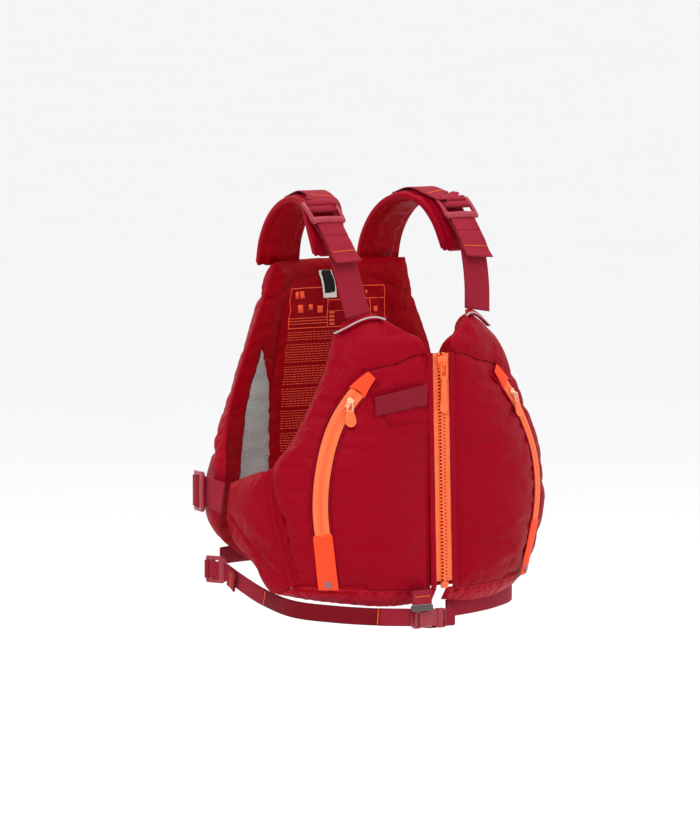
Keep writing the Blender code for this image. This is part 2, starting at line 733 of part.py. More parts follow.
def lash_patch():
    """A flat webbing patch for a clip or a sheath, slanting down away from the zip."""
    x, y, slant = PATCH_HALF_WIDTH, PATCH_HALF_HEIGHT, PATCH_SLANT
    outline = [(-x, -y - slant), (x, slant - y), (x, y + slant), (-x, y - slant)]
    rise = 2 * POCKET_RISE + PATCH_THICKNESS / 2
    frame = skin_frame(*PATCH_PLACE, rise, SIDES["right"])
    plate("lash_patch", [outline], PATCH_THICKNESS / 2, frame, WEB)


def waist_buckle():
    socket = box("buckle_socket", SOCKET_SIZE, Matrix.Translation(SOCKET_PLACE), LOCKS, bevel=0.0015)
    x, y, z = SOCKET_PLACE
    mouth = x + SOCKET_SIZE[0] / 2
    cavity_place = (mouth - CAVITY_SIZE[0] / 2 + 0.001, y, z)
    cavity = box("socket_cavity", CAVITY_SIZE, Matrix.Translation(cavity_place), LOCKS)
    join(socket, cavity, "DIFFERENCE")
    base_place = (mouth + PLUG_GAP + PLUG_BASE_SIZE[0] / 2, y, z)
    plug = box("buckle_plug", PLUG_BASE_SIZE, Matrix.Translation(base_place), LOCKS, bevel=0.0012)
    tongue_place = (mouth + 0.002 - TONGUE_SIZE[0] / 2, y, z)
    tongue = box("plug_tongue", TONGUE_SIZE, Matrix.Translation(tongue_place), LOCKS)
    join(plug, tongue, "UNION")
    loop_size = (LOOP_LENGTH, LOOP_THICKNESS, BELT_WEB)
    loop_start = mouth + PLUG_GAP + PLUG_BASE_SIZE[0] + GAP
    loop_place = (loop_start + LOOP_LENGTH / 2, y, z)
    loop = box("plug_loop", loop_size, Matrix.Translation(loop_place), WEB, bevel=0.0008)
    pivot("plug_axis", (mouth, y, z), plug, loop)


def drop_tab():
    x, y, z = DROP_TAB_PLACE
    tab = box("drop_tab", DROP_TAB_SIZE, Matrix.Translation(DROP_TAB_PLACE), WEB)
    clip_place = (x, y, z - DROP_TAB_SIZE[2] / 2 - GAP - CLIP_SIZE[2] / 2)
    clip = box("tab_clip", CLIP_SIZE, Matrix.Translation(clip_place), CLIP, bevel=0.001)
    pivot("tab_axis", (x, y, z + DROP_TAB_SIZE[2] / 2), tab, clip)


def main():
    for label, side in SIDES.items():
        front_panel(label, side)
        side_wing(label, side)
        hem_gusset(label, side)
        shoulder(label, side)
        straps(label, side)
        pocket(label, side)
    back_panel()
    belt_back()
    main_zip()
    main_slider()
    lash_patch()
    waist_buckle()
    drop_tab()


for old in list(bpy.data.objects):
    bpy.data.objects.remove(old, do_unlink=True)
PARTS = bpy.data.collections.new("buoyancy_aid")
CUTTERS = bpy.data.collections.new("cutters")
for collection in (PARTS, CUTTERS):
    bpy.context.scene.collection.children.link(collection)
SHELL = make_material("shell_nylon", (0.38, 0.008, 0.020), 0.55)
LINING = make_material("lining_nylon", (0.27, 0.004, 0.014), 0.7)
FOAM = make_material("foam", (0.05, 0.05, 0.055), 0.9)
WEB = make_material("webbing", (0.30, 0.012, 0.030), 0.75)
ZIP_TAPE = make_material("zip_tape", (1.0, 0.22, 0.08), 0.6)
TAPE_PATCH = make_material("zip_patch", (1.0, 0.09, 0.025), 0.55)
ORANGE = make_material("orange_plastic", (1.0, 0.18, 0.03), 0.35)
LOCKS = make_material("red_plastic", (0.42, 0.015, 0.040), 0.3)
METAL = make_material("slider_metal", (0.75, 0.60, 0.52), 0.3, 1.0)
CLIP = make_material("clip_plastic", (0.06, 0.05, 0.05), 0.45)
REFLECTIVE = make_material("reflective_piping", (0.60, 0.58, 0.60), 0.35)
main()
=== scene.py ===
"""Kayak life jacket: cloth, webbing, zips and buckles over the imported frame."""

import functools
import math

import bmesh
import bpy
import numpy as np
from mathutils import Matrix, Vector, noise
from mathutils.bvhtree import BVHTree


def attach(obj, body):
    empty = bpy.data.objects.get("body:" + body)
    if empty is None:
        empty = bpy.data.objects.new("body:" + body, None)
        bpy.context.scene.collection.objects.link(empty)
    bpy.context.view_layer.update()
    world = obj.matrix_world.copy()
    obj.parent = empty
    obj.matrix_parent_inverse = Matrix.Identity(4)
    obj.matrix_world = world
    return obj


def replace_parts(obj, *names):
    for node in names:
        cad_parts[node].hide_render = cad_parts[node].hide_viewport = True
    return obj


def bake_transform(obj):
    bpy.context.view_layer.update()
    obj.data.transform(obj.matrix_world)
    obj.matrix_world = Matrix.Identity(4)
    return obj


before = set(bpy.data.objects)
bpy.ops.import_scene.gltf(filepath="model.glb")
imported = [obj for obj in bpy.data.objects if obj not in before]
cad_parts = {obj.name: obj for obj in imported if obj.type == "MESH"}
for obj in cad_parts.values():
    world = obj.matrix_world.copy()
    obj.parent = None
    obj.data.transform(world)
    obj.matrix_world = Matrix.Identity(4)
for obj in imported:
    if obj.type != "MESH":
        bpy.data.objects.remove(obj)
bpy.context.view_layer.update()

SIDES = {"right": -1, "left": 1}
ACROSS = Vector((1, 0, 0))
UPWARD = Vector((0, 0, 1))
FORWARD = Vector((0, -1, 0))
TINY = 1e-9
PROBE = 0.01  # how far apart two points are that give a direction

# The torso's level sections: height, half width, front squareness, back depth, back squareness.
SECTIONS = np.array(
    [
        (0.000, 0.183, 2.10, 0.130, 3.4),
        (0.070, 0.200, 2.35, 0.136, 3.6),
        (0.135, 0.2115, 2.70, 0.142, 3.8),
        (0.200, 0.204, 2.90, 0.143, 3.8),
        (0.270, 0.188, 2.35, 0.142, 3.7),
        (0.340, 0.1665, 1.90, 0.138, 3.3),
        (0.450, 0.129, 1.90, 0.130, 2.8),
    ]
)
FRONT_DEPTH = 0.1382
FRONT_LEAN = 0.021
CHEST_HEIGHT = 0.32
CHEST_LEAN = 1.1
ARC_STEPS = 180

# Panels.
FRONT_THICKNESS = 0.038
BACK_THICKNESS = 0.032
BACK_WING_THICKNESS = 0.016
BACK_WING_START = 0.165
BACK_WING_END = 0.240
RIM_DEPTH = 0.010
RIM_WALL = 0.0036
ZIP_RIM_DEPTH = 0.0035
RIM_POWER = 12
RIM_STEP = 0.012
SHEET_GAP = 0.0006
FRONT_GRID = (44, 62)
BACK_GRID = (76, 62)
WING_GRID = (26, 24)
GUSSET_GRID = (44, 7)
PAD_GRID = (14, 44)
ANCHOR_GRID = (26, 9)
LEAF_GRID = (14, 60)

# Outlines, as (distance round the section, height).
ZIP_EDGE = 0.0195
HEM = [(ZIP_EDGE, 0.050), (0.100, 0.053), (0.198, 0.057)]
SIDE_SEAM = [(0.198, 0.057), (0.222, 0.130), (0.240, 0.201)]
ARMHOLE = [(0.240, 0.201), (0.210, 0.233), (0.172, 0.290), (0.137, 0.362)]
NECKLINE = [(ZIP_EDGE, 0.339), (0.024, 0.356), (0.042, 0.365), (0.070, 0.381), (0.137, 0.362)]
WING_TOP = [(0.2445, 0.1990), (0.280, 0.190), (0.323, 0.177)]
WING_END = [(0.328, 0.137), (0.323, 0.177)]
WING_FOOT = [(0.1995, 0.0575), (0.2315, 0.045), (0.267, 0.078), (0.312, 0.108), (0.328, 0.137)]
WING_SEAM = [(0.1995, 0.0575), (0.2250, 0.130), (0.2445, 0.1990)]
GUSSET_TOP = [(0.009, 0.0480), (0.100, 0.0512), (0.160, 0.0535), (0.196, 0.0545), (0.2285, 0.0440)]
GUSSET_FOOT = [(0.009, 0.034), (0.063, 0.030), (0.153, 0.036), (0.2260, 0.0425)]
BACK_FOOT = [(0.0, 0.062), (0.110, 0.066), (0.160, 0.088), (0.215, 0.118), (0.243, 0.140)]
BACK_SIDE = [
    (0.243, 0.140),
    (0.246, 0.165),
    (0.242, 0.185),
    (0.220, 0.218),
    (0.185, 0.262),
    (0.158, 0.335),
    (0.130, 0.400),
    (0.118, 0.443),
]
BACK_TOP = [(0.0, 0.444), (0.118, 0.443)]
WING_SKIN = 0.001
WING_THICKNESS = 0.012
GUSSET_SKIN = 0.006
GUSSET_TUCK = 0.010
GUSSET_THICKNESS = 0.005

# Seams on the panels, in the same coordinates.
YOKE_SEAM = [(ZIP_EDGE, 0.339), (0.042, 0.336), (0.057, 0.330), (0.087, 0.324), (0.106, 0.319)]
PLACKET_SEAM = [(0.0235, 0.054), (0.0235, 0.337)]
WING_STITCH = [(0.2085, 0.0560), (0.2330, 0.130), (0.2520, 0.1960)]
WING_CREASE = [(0.312, 0.135), (0.262, 0.100), (0.222, 0.068)]
BACK_YOKE = [(-0.135, 0.395), (-0.060, 0.420), (0.0, 0.427), (0.060, 0.420), (0.135, 0.395)]
BACK_WAIST = [(-0.20, 0.21), (0.0, 0.19), (0.20, 0.21)]
BACK_CHANNEL = [(0.100, 0.10), (0.096, 0.38)]
WING_TIP_STITCH = [(0.318, 0.141), (0.3145, 0.174)]
HEM_TURN = [(0.021, 0.0492), (0.100, 0.0520), (0.205, 0.0560)]
LEAF_INNER = [(0.098, 0.150), (0.097, 0.230), (0.104, 0.290), (0.134, 0.335)]
LEAF_OUTER = [(0.158, 0.150), (0.158, 0.200), (0.152, 0.270), (0.136, 0.335)]

# Cloth.
CLOTH_STEP = 0.0055
CLOTH_FRAMES = 20
CLOTH_CAP = 0.005
CLOTH_PRESSURE = 2.5
CLOTH_SLACK = 0.02
BULGE = 0.0030
BULGE_WIDTH = 0.020
WRINKLE = 0.0020
PUCKER = 0.0013
PUCKER_REACH = 0.013
PUCKER_PITCH = 0.0075
GROOVE = 0.0020
GROOVE_WIDTH = 0.0030
NOISE_OFFSET = 7.3
LANDING_REACH = 0.012
# Radii of the dark cords that paint the shade of seam grooves.
SEAM_RADIUS = 0.0006
LEAF_SEAM_RADIUS = 0.0008
ALLOWANCE = (0.013, 0.0030)
ALLOWANCE_DEPTH = 0.0085
SIDE_ALLOWANCE_DEPTH = 0.0065
SEAM_STEP = 0.003
STITCH_STEP = 0.004
ALLOWANCE_STEP = 0.005

# How far each face swells between its seams, and how deep its folds are.
FRONT_FACES = ((BULGE, WRINKLE), (0.0, WRINKLE))
BACK_FACES = ((BULGE, 0.0010), (0.0010, WRINKLE))
WING_FACES = ((0.0012, WRINKLE), (0.0, WRINKLE))
GUSSET_FACES = ((0.0020, WRINKLE), (0.0, WRINKLE))
PAD_FACES = ((0.0002, 0.0004), (0.0006, 0.0008))

# Shoulders.
WEBBING = 0.0016
WIDE_WEB = 0.038
PAD_PATH = [
    (0.0765, 0.1175, 0.4400),
    (0.0775, 0.110, 0.470),
    (0.079, 0.092, 0.498),
    (0.081, 0.062, 0.519),
    (0.084, 0.030, 0.5255),
    (0.089, 0.004, 0.518),
    (0.095, -0.013, 0.497),
    (0.098, -0.024, 0.459),
]
PAD_HALF_WIDTHS = [0.030, 0.0295, 0.029, 0.0285, 0.028, 0.027, 0.025, 0.019]
PAD_EDGE = 0.006
PAD_CROWN = 0.015
PAD_TAPER = 0.10
PAD_FLAT_SIZE = (0.06, 0.21)
PAD_SEAMS = (0.008, 0.052)
PAD_WEB_START = 0.35
PAD_STITCHES = (0.13, 0.87)
PAD_BINDING = (0.0030, PAD_EDGE + 0.0016, 2.4)
PAD_WEB_PATH = [
    (0.081, 0.066, 0.5268),
    (0.084, 0.030, 0.5352),
    (0.089, 0.002, 0.5278),
    (0.093, -0.0050, 0.5250),
    (0.0985, -0.0095, 0.5240),
    (0.1010, -0.0125, 0.5215),
]
STRAP_PATH = [
    (0.1015, -0.0185, 0.5020),
    (0.1015, -0.036, 0.4885),
    (0.101, -0.052, 0.470),
    (0.099, -0.062, 0.447),
    (0.096, -0.071, 0.418),
    (0.091, -0.0785, 0.3865),
]
TAIL_PATH = [(0.1013, -0.0430, 0.4855), (0.101, -0.0545, 0.4715), (0.0995, -0.0665, 0.4490)]
TAIL_HEAD_PATH = [(0.1015, -0.0315, 0.5000), (0.1014, -0.0385, 0.4920), (0.1013, -0.0460, 0.4835)]
TAIL_THICKNESS = 0.003
PIPING_RADIUS = 0.0012
PIPING_RISE = 0.0022
PIPING_DEPTH = 0.0045
PIPING_ENDS = (0.46, 0.98)
ANCHOR_SHARES = (0.50, 0.93)
ANCHOR_HEIGHTS = (0.0055, 0.0130)
ANCHOR_FACES = ((0.0042, -0.0012), (0.0080, 0.0006))

# Ladder locks: half width and half length of each frame, and where its bars are.
SHOULDER_LOCK = (0.025, 0.019)
SIDE_LOCK = (0.025, 0.015)
BELT_LOCK = (0.017, 0.015)
SHOULDER_LOCK_PLACE = (0.1015, -0.0200, 0.5110)
SHOULDER_LOCK_SLOPE = 47
SIDE_LOCK_PLACE = (0.2105, 0.0930, 0.1630)
SIDE_LOCK_TURN = 12
BELT_LOCK_PLACE = (0.1850, 0.0960, 0.0630)
BELT_LOCK_TURN = -20
LOCK_BARS = ((0.78, 0.0042), (0.22, 0.0042), (-0.74, 0.0100))
LOCK_RAIL = 0.0052
LOCK_THICKNESS = 0.0046
LOCK_BOW = 0.0016
LOCK_DIP = 0.0010
RAIL_INSET = 0.003
BAR_INSET = 0.0022
WRAP_SIZE = (0.0094, 0.0070)

# Main zip.
ZIP_FOOT = 0.058
ZIP_HEAD = 0.339
TAPE_INNER = 0.0030
TAPE_OUTER = 0.0186
TAPE_DEPTH = 0.0022
TAPE_THICKNESS = 0.0008
TOOTH_PITCH = 0.0042
TOOTH_THICKNESS = 0.0026
TOOTH_MIDDLE = 0.0017
SLIDER_HEIGHT = 0.326
SLIDER_THICKNESS = 0.0025
SLIDER_CLEARANCE = 0.0008
SLIDER_PLAN = [
    (0.0044, -0.0099),
    (0.0052, -0.002),
    (0.0074, 0.004),
    (0.0072, 0.0085),
    (0.0040, 0.0105),
]
BAIL_DEPTH = 0.0040
NECK_SIZE = (0.0072, 0.0130, 0.0021)
RIDGE_SIZE = (0.0062, 0.0012, 0.0028)
RIDGE_PITCH = 0.0032
GRIP_SHANK = [(0.0034, -0.027), (0.0044, -0.030), (0.0044, -0.042), (0.0054, -0.048)]
BOX_SIZE = (0.0100, 0.0042, 0.0080)
PIN_SIZE = (0.0034, 0.0024, 0.009)
STOP_SIZE = (0.0036, 0.0026, 0.0034)
PLACKET_INNER = 0.0121
PLACKET_OUTER = 0.0203
PLACKET_DEPTH = 0.0014
PLACKET_THICKNESS = 0.0024
FLAP_DEPTH = 0.0068
FLAP_SIZE = (0.044, 0.0020)

# Pocket zips.
ARC_CENTRE = (-0.034, 0.160)
ARC_RADIUS = 0.199
POCKET_HALF_WIDTH = 0.0095
POCKET_RISE = 0.0006
POCKET_TAPE = 0.0008
ZIP_ANGLES = (-11.5, 43.0)
GARAGE_ANGLES = (42.6, 50.6)
SLIDER_ANGLE = 38.0
SLIDER_LEAN = 27
TAB_FOOT = (0.148, 0.0535)
RIVET_PLACE = (0.1492, 0.0600)
RIVET_RISE = 0.0030
POCKET_SLIDER_THICKNESS = 0.0022
POCKET_SLIDER_PLAN = [
    (0.0024, -0.0068),
    (0.0030, -0.001),
    (0.0043, 0.003),
    (0.0042, 0.0058),
    (0.0022, 0.0068),
]
POCKET_BAIL_HEIGHT = 0.0032
DROP_SHANK = [(0.0036, -0.0104), (0.0048, -0.0130), (0.0062, -0.0168)]
KNOB_SIZE = (0.0074, 0.0086, 0.0028)
RIVET_PROFILE = [
    (0.0, 0.0006),
    (0.0012, 0.0009),
    (0.0022, 0.0003),
    (0.0036, 0.0007),
    (0.0047, 0.0003),
    (0.0050, -0.0008),
]
COIL_OFFSET = 0.0013
POCKET_SLIDER_CLEARANCE = 0.0032

# Patch, belts and buckle.
PATCH_PLACE = (0.0605, 0.2835)
PATCH_HALF_WIDTH = 0.0345
PATCH_HALF_HEIGHT = 0.0120
PATCH_SLANT = 0.0060
PATCH_RISE = 0.0017
PATCH_THICKNESS = 0.0016
PATCH_STITCH = [(0.028, 0.304), (0.096, 0.289), (0.075, 0.252), (0.030, 0.258)]
PATCH_BAND = ((0.032, 0.2815), (0.092, 0.2800))
SIDE_STRAP_PATH = [(0.2085, 0.0815, 0.163), (0.2105, 0.062, 0.161), (0.2075, 0.0445, 0.158)]
BELT_WEB = 0.022
SIDE_HEAD_PATH = [
    (0.2085, 0.0800, 0.163),
    (0.2105, 0.0850, 0.163),
    (0.2145, 0.0895, 0.163),
    (0.2160, 0.0935, 0.163),
    (0.2145, 0.0985, 0.163),
]
BELT_HEAD_PATH = [
    (0.1800, 0.0745, 0.0598),
    (0.1820, 0.0830, 0.0610),
    (0.1850, 0.0880, 0.0620),
    (0.1885, 0.0925, 0.0628),
    (0.1900, 0.0970, 0.0630),
]
BELT_TAIL_PATH = [(0.1830, 0.0700, 0.0560), (0.1850, 0.0600, 0.0535), (0.1885, 0.0480, 0.0500)]
BELT_PATHS = {
    "right": [
        (0.1800, 0.0760, 0.0600),
        (0.1835, 0.0400, 0.0510),
        (0.1815, -0.0050, 0.0380),
        (0.1720, -0.0550, 0.0275),
        (0.1400, -0.0990, 0.0230),
        (0.0950, -0.1230, 0.0190),
        (0.0485, -0.1335, 0.0160),
    ],
    "left": [
        (0.1800, 0.0760, 0.0600),
        (0.1835, 0.0400, 0.0510),
        (0.1815, -0.0050, 0.0370),
        (0.1620, -0.0560, 0.0270),
        (0.1200, -0.0850, 0.0240),
        (0.0700, -0.1040, 0.0220),
        (0.0200, -0.1110, 0.0200),
    ],
}
BELT_SLEEVE = (0.30, 0.86)
BELT_BACK_HEIGHT = 0.076
BELT_BACK_DEPTH = -0.0035
BELT_BACK_REACH = 0.165
SOCKET_SIZE = (0.034, 0.010, 0.024)
SOCKET_PLACE = (-0.0305, -0.1355, 0.0130)
PLUG_BASE_SIZE = (0.013, 0.009, 0.024)
RIB_SIZE = (0.014, 0.012, 0.0016)
TONGUE_SIZE = (0.022, 0.0038, 0.0135)
PLUG_GAP = 0.0006
LOOP_LENGTH = 0.014
BELT_LINK_MIDDLE = (0.0155, -0.1265, 0.0165)
DROP_TAB_SIZE = (0.030, 0.0020, 0.018)
DROP_TAB_PLACE = (-0.040, -0.1440, 0.0415)
CLIP_SIZE = (0.032, 0.0050, 0.008)

# Label print inside the back, as (distance from the spine, height).
LABEL_HALF_WIDTH = 0.083
LABEL_FOOT = 0.205
LABEL_MIDDLE = 0.3590
LABEL_HEAD = 0.4090
PRINT_LINE = 0.0011
PRINT_RISE = 0.0004
PRINT_THICKNESS = 0.0003
LABEL_COLUMN = -0.014
LABEL_SHELF = 0.3930
LABEL_DIVIDER = 0.056
LABEL_HALFWAY = 0.3790
LABEL_RULES = (0.3645, 0.3680, 0.3715)
LABEL_BLOCKS = (
    (-0.068, 0.4005, 0.009),
    (-0.056, 0.4005, 0.009),
    (-0.062, 0.3835, 0.010),
    (-0.042, 0.3850, 0.007),
    (-0.026, 0.3820, 0.009),
    (0.066, 0.3790, 0.007),
    (0.030, 0.4010, 0.004),
    (0.052, 0.4010, 0.004),
)
DASH_ROW = 0.0031
DASH_LENGTHS = (0.0020, 0.0050)
DASH_GAP = 0.0014
BLANK_EVERY = 9
TAG_HEAD = 0.430

CLOTH_SPECULAR = 0.045

# Camera and light.
TARGET = (-0.0317, 0.0222, 0.260)
CAMERA_AZIMUTH = -35
CAMERA_ELEVATION = 5
CAMERA_DISTANCE = 7
LENS = 245.9
AIM = (0, 0, 0.25)
LAMPS = (
    ("key", (-1.6, -1.8, 2.6), 1.0, 40),
    ("fill", (2.2, -1.9, 1.0), 2.0, 6),
    ("top", (0.2, 0.4, 2.6), 1.4, 24),
    ("behind", (-0.6, 2.2, 1.6), 2.0, 8),
)
FLOOR_HEIGHT = -0.26
FLOOR_REACH = 400


def smooth(knots, values, at):
    """Cubic through the values, whose slope at each knot comes from its neighbours."""
    slopes = np.gradient(values, knots, axis=0)
    at = min(max(at, knots[0]), knots[-1])
    left = int(min(max(np.searchsorted(knots, at) - 1, 0), len(knots) - 2))
    width = knots[left + 1] - knots[left]
    t = (at - knots[left]) / width
    start = (2 * t**3 - 3 * t**2 + 1) * values[left] + (t**3 - 2 * t**2 + t) * width * slopes[left]
    end = (3 * t**2 - 2 * t**3) * values[left + 1] + (t**3 - t**2) * width * slopes[left + 1]
    return start + end


def along(points, share):
    """The point at a share of the length of a smooth line through these points."""
    points = np.array(points, float)
    if len(points) == 2:
        return points[0] + (points[1] - points[0]) * share
    steps = np.linalg.norm(np.diff(points, axis=0), axis=1)
    knots = np.concatenate([[0], np.cumsum(steps)])
    return smooth(knots, points, share * knots[-1])


def trace(points, step):
    """A smooth line through the points, sampled about every step."""
    points = np.array(points, float)
    length = np.linalg.norm(np.diff(points, axis=0), axis=1).sum()
    count = max(int(length / step), 1)
    return np.array([along(points, index / count) for index in range(count + 1)])


def front_depth(height):
    lean = CHEST_LEAN * max(height - CHEST_HEIGHT, 0) ** 1.5
    return FRONT_DEPTH - FRONT_LEAN * height - lean


ZIP_LEAN = (front_depth(ZIP_FOOT) - front_depth(ZIP_HEAD)) / (ZIP_HEAD - ZIP_FOOT)


@functools.cache
def section(height):
    """Half of a level section, from the zip to the spine: points, and the distance to each."""
    values = smooth(SECTIONS[:, 0], SECTIONS, height)
    _, half_width, front_square, back_depth, back_square = values
    angles = np.linspace(0, math.pi, ARC_STEPS + 1)
    cosines, sines = np.cos(angles), np.abs(np.sin(angles))
    squareness = np.where(cosines > 0, front_square, back_square)
    depth = np.where(cosines > 0, front_depth(height), back_depth)
    across = half_width * sines ** (2 / squareness)
    forward = depth * np.sign(cosines) * np.abs(cosines) ** (2 / squareness)
    steps = np.hypot(np.diff(across), np.diff(forward))
    return across, -forward, np.concatenate([[0], np.cumsum(steps)])


def torso(distance, height, depth, side):
    """A point this far round the section from the zip, and this deep under the outer skin."""
    across, back, lengths = section(height)
    reach = 0.004
    ends = []
    for at in (distance - reach, distance, distance + reach):
        sign = -1 if at < 0 or at > lengths[-1] else 1
        folded = abs(at) if at < 0 else min(at, 2 * lengths[-1] - at)
        ends.append((sign * np.interp(folded, lengths, across), np.interp(folded, lengths, back)))
    before, here, after = (np.array(end) for end in ends)
    tangent = (after - before) / np.linalg.norm(after - before)
    inward = np.array([-tangent[1], tangent[0]])
    x, y = here + inward * depth
    return Vector((side * x, y, height))


def spine(distance, height, depth):
    """As torso, with the distance measured from the spine: negative to the wearer's right."""
    half = section(height)[2][-1]
    return torso(half - abs(distance), height, depth, math.copysign(1, distance))


def skin_distance(sideways, height):
    """The distance round the front's section at which it is this far from the middle."""
    across, _, lengths = section(height)
    front = slice(0, ARC_STEPS // 2 + 1)
    return float(np.interp(sideways, across[front], lengths[front]))


def on_skin(sideways, height, rise, side):
    return torso(skin_distance(sideways, height), height, -rise, side)


def skin_frame(sideways, height, rise, side):
    """A matrix on the front's skin: X to the wearer's left, Y up the skin, Z out of it."""
    distance = skin_distance(sideways, height)
    here = torso(distance, height, -rise, side)
    out = (here - torso(distance, height, PROBE, side)).normalized()
    up = (torso(distance, height + PROBE, -rise, side) - here).normalized()
    return frame_at(here, up, out)


def frame_at(origin, up, out):
    """A matrix whose Z is out, whose Y is up as nearly as Z allows, and whose X follows."""
    out = Vector(out).normalized()
    right = Vector(up).cross(out).normalized()
    turned = Matrix((right, out.cross(right), out)).transposed().to_4x4()
    return Matrix.Translation(origin) @ turned


def arc_point(angle, radius):
    """(sideways, height) on the pocket zip's arc."""
    turn = math.radians(angle)
    sideways = ARC_CENTRE[0] + radius * math.cos(turn)
    return sideways, ARC_CENTRE[1] + radius * math.sin(turn)


def zip_line(height, depth):
    """A point this deep under the main zip's straight front face."""
    return Vector((0, ZIP_LEAN * (height - ZIP_FOOT) - front_depth(ZIP_FOOT) + depth, height))


def zip_stations(heights, sideways, depth):
    """Stations up the main zip's front face, this far to the wearer's left and this deep."""
    return [(zip_line(height, depth) + ACROSS * sideways, ACROSS, FORWARD) for height in heights]


def side_put(side):
    """The torso's skin on one side, as a function of distance, height and depth."""

    def put(distance, height, depth):
        return torso(distance, height, depth, side)

    return put


def ahead_at(points, index):
    """The way the points run at one of them, from its neighbour before to the one after."""
    return points[min(index + 1, len(points) - 1)] - points[max(index - 1, 0)]


def mirrored(line, across=-1, upward=1):
    """An outline from its half: the half, and then its mirror image backwards."""
    return [*line, *((across * a, upward * b) for a, b in reversed(line))]


def shifted(line, across, upward):
    return [(a + across, b + upward) for a, b in line]


def point_grid(place, across, upward):
    """A grid of the points place(u, v), rows upward."""
    return np.array([[tuple(place(u, v)) for u in across] for v in upward])


def patch(foot, head, inner, outer):
    """A blend of four border lines: a function of two shares, across and up."""

    def at(u, v):
        sides = (1 - u) * along(inner, v) + u * along(outer, v)
        ends = (1 - v) * along(foot, u) + v * along(head, u)
        corners = (1 - v) * ((1 - u) * np.array(foot[0]) + u * np.array(foot[-1]))
        corners = corners + v * ((1 - u) * np.array(head[0]) + u * np.array(head[-1]))
        return sides + ends - corners

    return at


def rim(u, v):
    """0 inside a panel, rising to 1 at its outline."""
    return max(abs(2 * u - 1), abs(2 * v - 1)) ** RIM_POWER


def shares(count):
    """Shares from 0 to 1 in this many steps, of which the first and last are short."""
    inside = np.linspace(RIM_STEP, 1 - RIM_STEP, count - 1)
    return np.concatenate([[0], inside, [1]])


# ---------------------------------------------------------------- materials


def add_node(tree, kind, inputs=(), **settings):
    """A shader node with its settings, whose inputs are values or links."""
    made = tree.nodes.new(kind)
    for name, value in settings.items():
        setattr(made, name, value)
    for key, value in dict(inputs).items():
        if isinstance(value, bpy.types.NodeSocket):
            tree.links.new(value, made.inputs[key])
        else:
            made.inputs[key].default_value = value
    return made


def math_node(tree, operation, first, second=0.0):
    return add_node(tree, "ShaderNodeMath", {0: first, 1: second}, operation=operation).outputs[0]


def mix_colour(tree, factor, first, second):
    inputs = {"Factor": factor, 6: first, 7: second}
    mixed = add_node(tree, "ShaderNodeMix", inputs, data_type="RGBA")
    return mixed.outputs[2]


def weave_height(tree, pitch, slant):
    """A woven surface's height, from the UV map in metres: threads this far apart."""
    across, upward = (
        math_node(tree, "MULTIPLY", part, 2 * math.pi / pitch) for part in map_parts(tree)
    )
    leaning = math_node(tree, "MULTIPLY", upward, slant)
    warp = math_node(tree, "SINE", math_node(tree, "ADD", across, leaning))
    weft = math_node(tree, "SINE", upward)
    return math_node(tree, "MULTIPLY", warp, weft)


def surface_noise(tree, scale, detail=3.0):
    place = add_node(tree, "ShaderNodeTexCoord").outputs["Object"]
    inputs = {"Vector": place, "Scale": scale, "Detail": detail}
    return add_node(tree, "ShaderNodeTexNoise", inputs).outputs["Fac"]


def make_material(name, roughness, sheen=0.0, coat=0.0, metallic=0.0, specular=0.5):
    material = bpy.data.materials.new(name)
    material.use_nodes = True
    shader = material.node_tree.nodes["Principled BSDF"]
    shader.inputs["Roughness"].default_value = roughness
    shader.inputs["Specular IOR Level"].default_value = specular
    shader.inputs["Sheen Weight"].default_value = sheen
    shader.inputs["Sheen Roughness"].default_value = 0.4
    shader.inputs["Coat Weight"].default_value = coat
    shader.inputs["Coat Roughness"].default_value = 0.25
    shader.inputs["Metallic"].default_value = metallic
    return material, material.node_tree, shader


def paint(tree, shader, colours, factor, height, distance, strength):
    """A colour between two by a factor, and relief from a height."""
    first, second = colours
    mixed = mix_colour(tree, factor, (*first, 1), (*second, 1))
    tree.links.new(mixed, shader.inputs["Base Color"])
    inputs = {"Height": height, "Distance": distance, "Strength": strength}
    bump = add_node(tree, "ShaderNodeBump", inputs)
    tree.links.new(bump.outputs[0], shader.inputs["Normal"])


def map_parts(tree):
    """The two directions of the UV map, which is in metres."""
    place = add_node(tree, "ShaderNodeUVMap").outputs[0]
    return add_node(tree, "ShaderNodeSeparateXYZ", {0: place}).outputs[:2]


def woven(name, colour, shade, roughness, pitch, height, slant=0.0, sheen=0.1, contrast=0.35):
    """Woven cloth: threads in colour and relief, with a slow variation of the dye."""
    material, tree, shader = make_material(name, roughness, sheen, specular=CLOTH_SPECULAR)
    weave = weave_height(tree, pitch, slant)
    lifted = math_node(tree, "MULTIPLY_ADD", weave, contrast / 2)
    lifted.node.inputs[2].default_value = contrast / 2
    dye = math_node(tree, "MULTIPLY", surface_noise(tree, 14.0), 0.45)
    fleck = math_node(tree, "MULTIPLY", surface_noise(tree, 900.0, 1.0), 0.25)
    factor = math_node(tree, "ADD", math_node(tree, "ADD", lifted, dye), fleck)
    paint(tree, shader, (colour, shade), factor, weave, height, 0.8)
    return material


def nylon(name, colour, shade, roughness, sheen):
    """Fine shell nylon: a satin face with creases too small to model."""
    material, tree, shader = make_material(name, roughness, sheen, specular=CLOTH_SPECULAR)
    dye = math_node(tree, "MULTIPLY", surface_noise(tree, 9.0), 0.6)
    fleck = math_node(tree, "MULTIPLY", surface_noise(tree, 1500.0, 1.0), 0.3)
    factor = math_node(tree, "ADD", dye, fleck)
    weave = math_node(tree, "MULTIPLY", weave_height(tree, 0.0009, 0.0), 0.04)
    height = math_node(tree, "ADD", surface_noise(tree, 90.0, 4.0), weave)
    paint(tree, shader, (colour, shade), factor, height, 0.0016, 0.45)
    return material


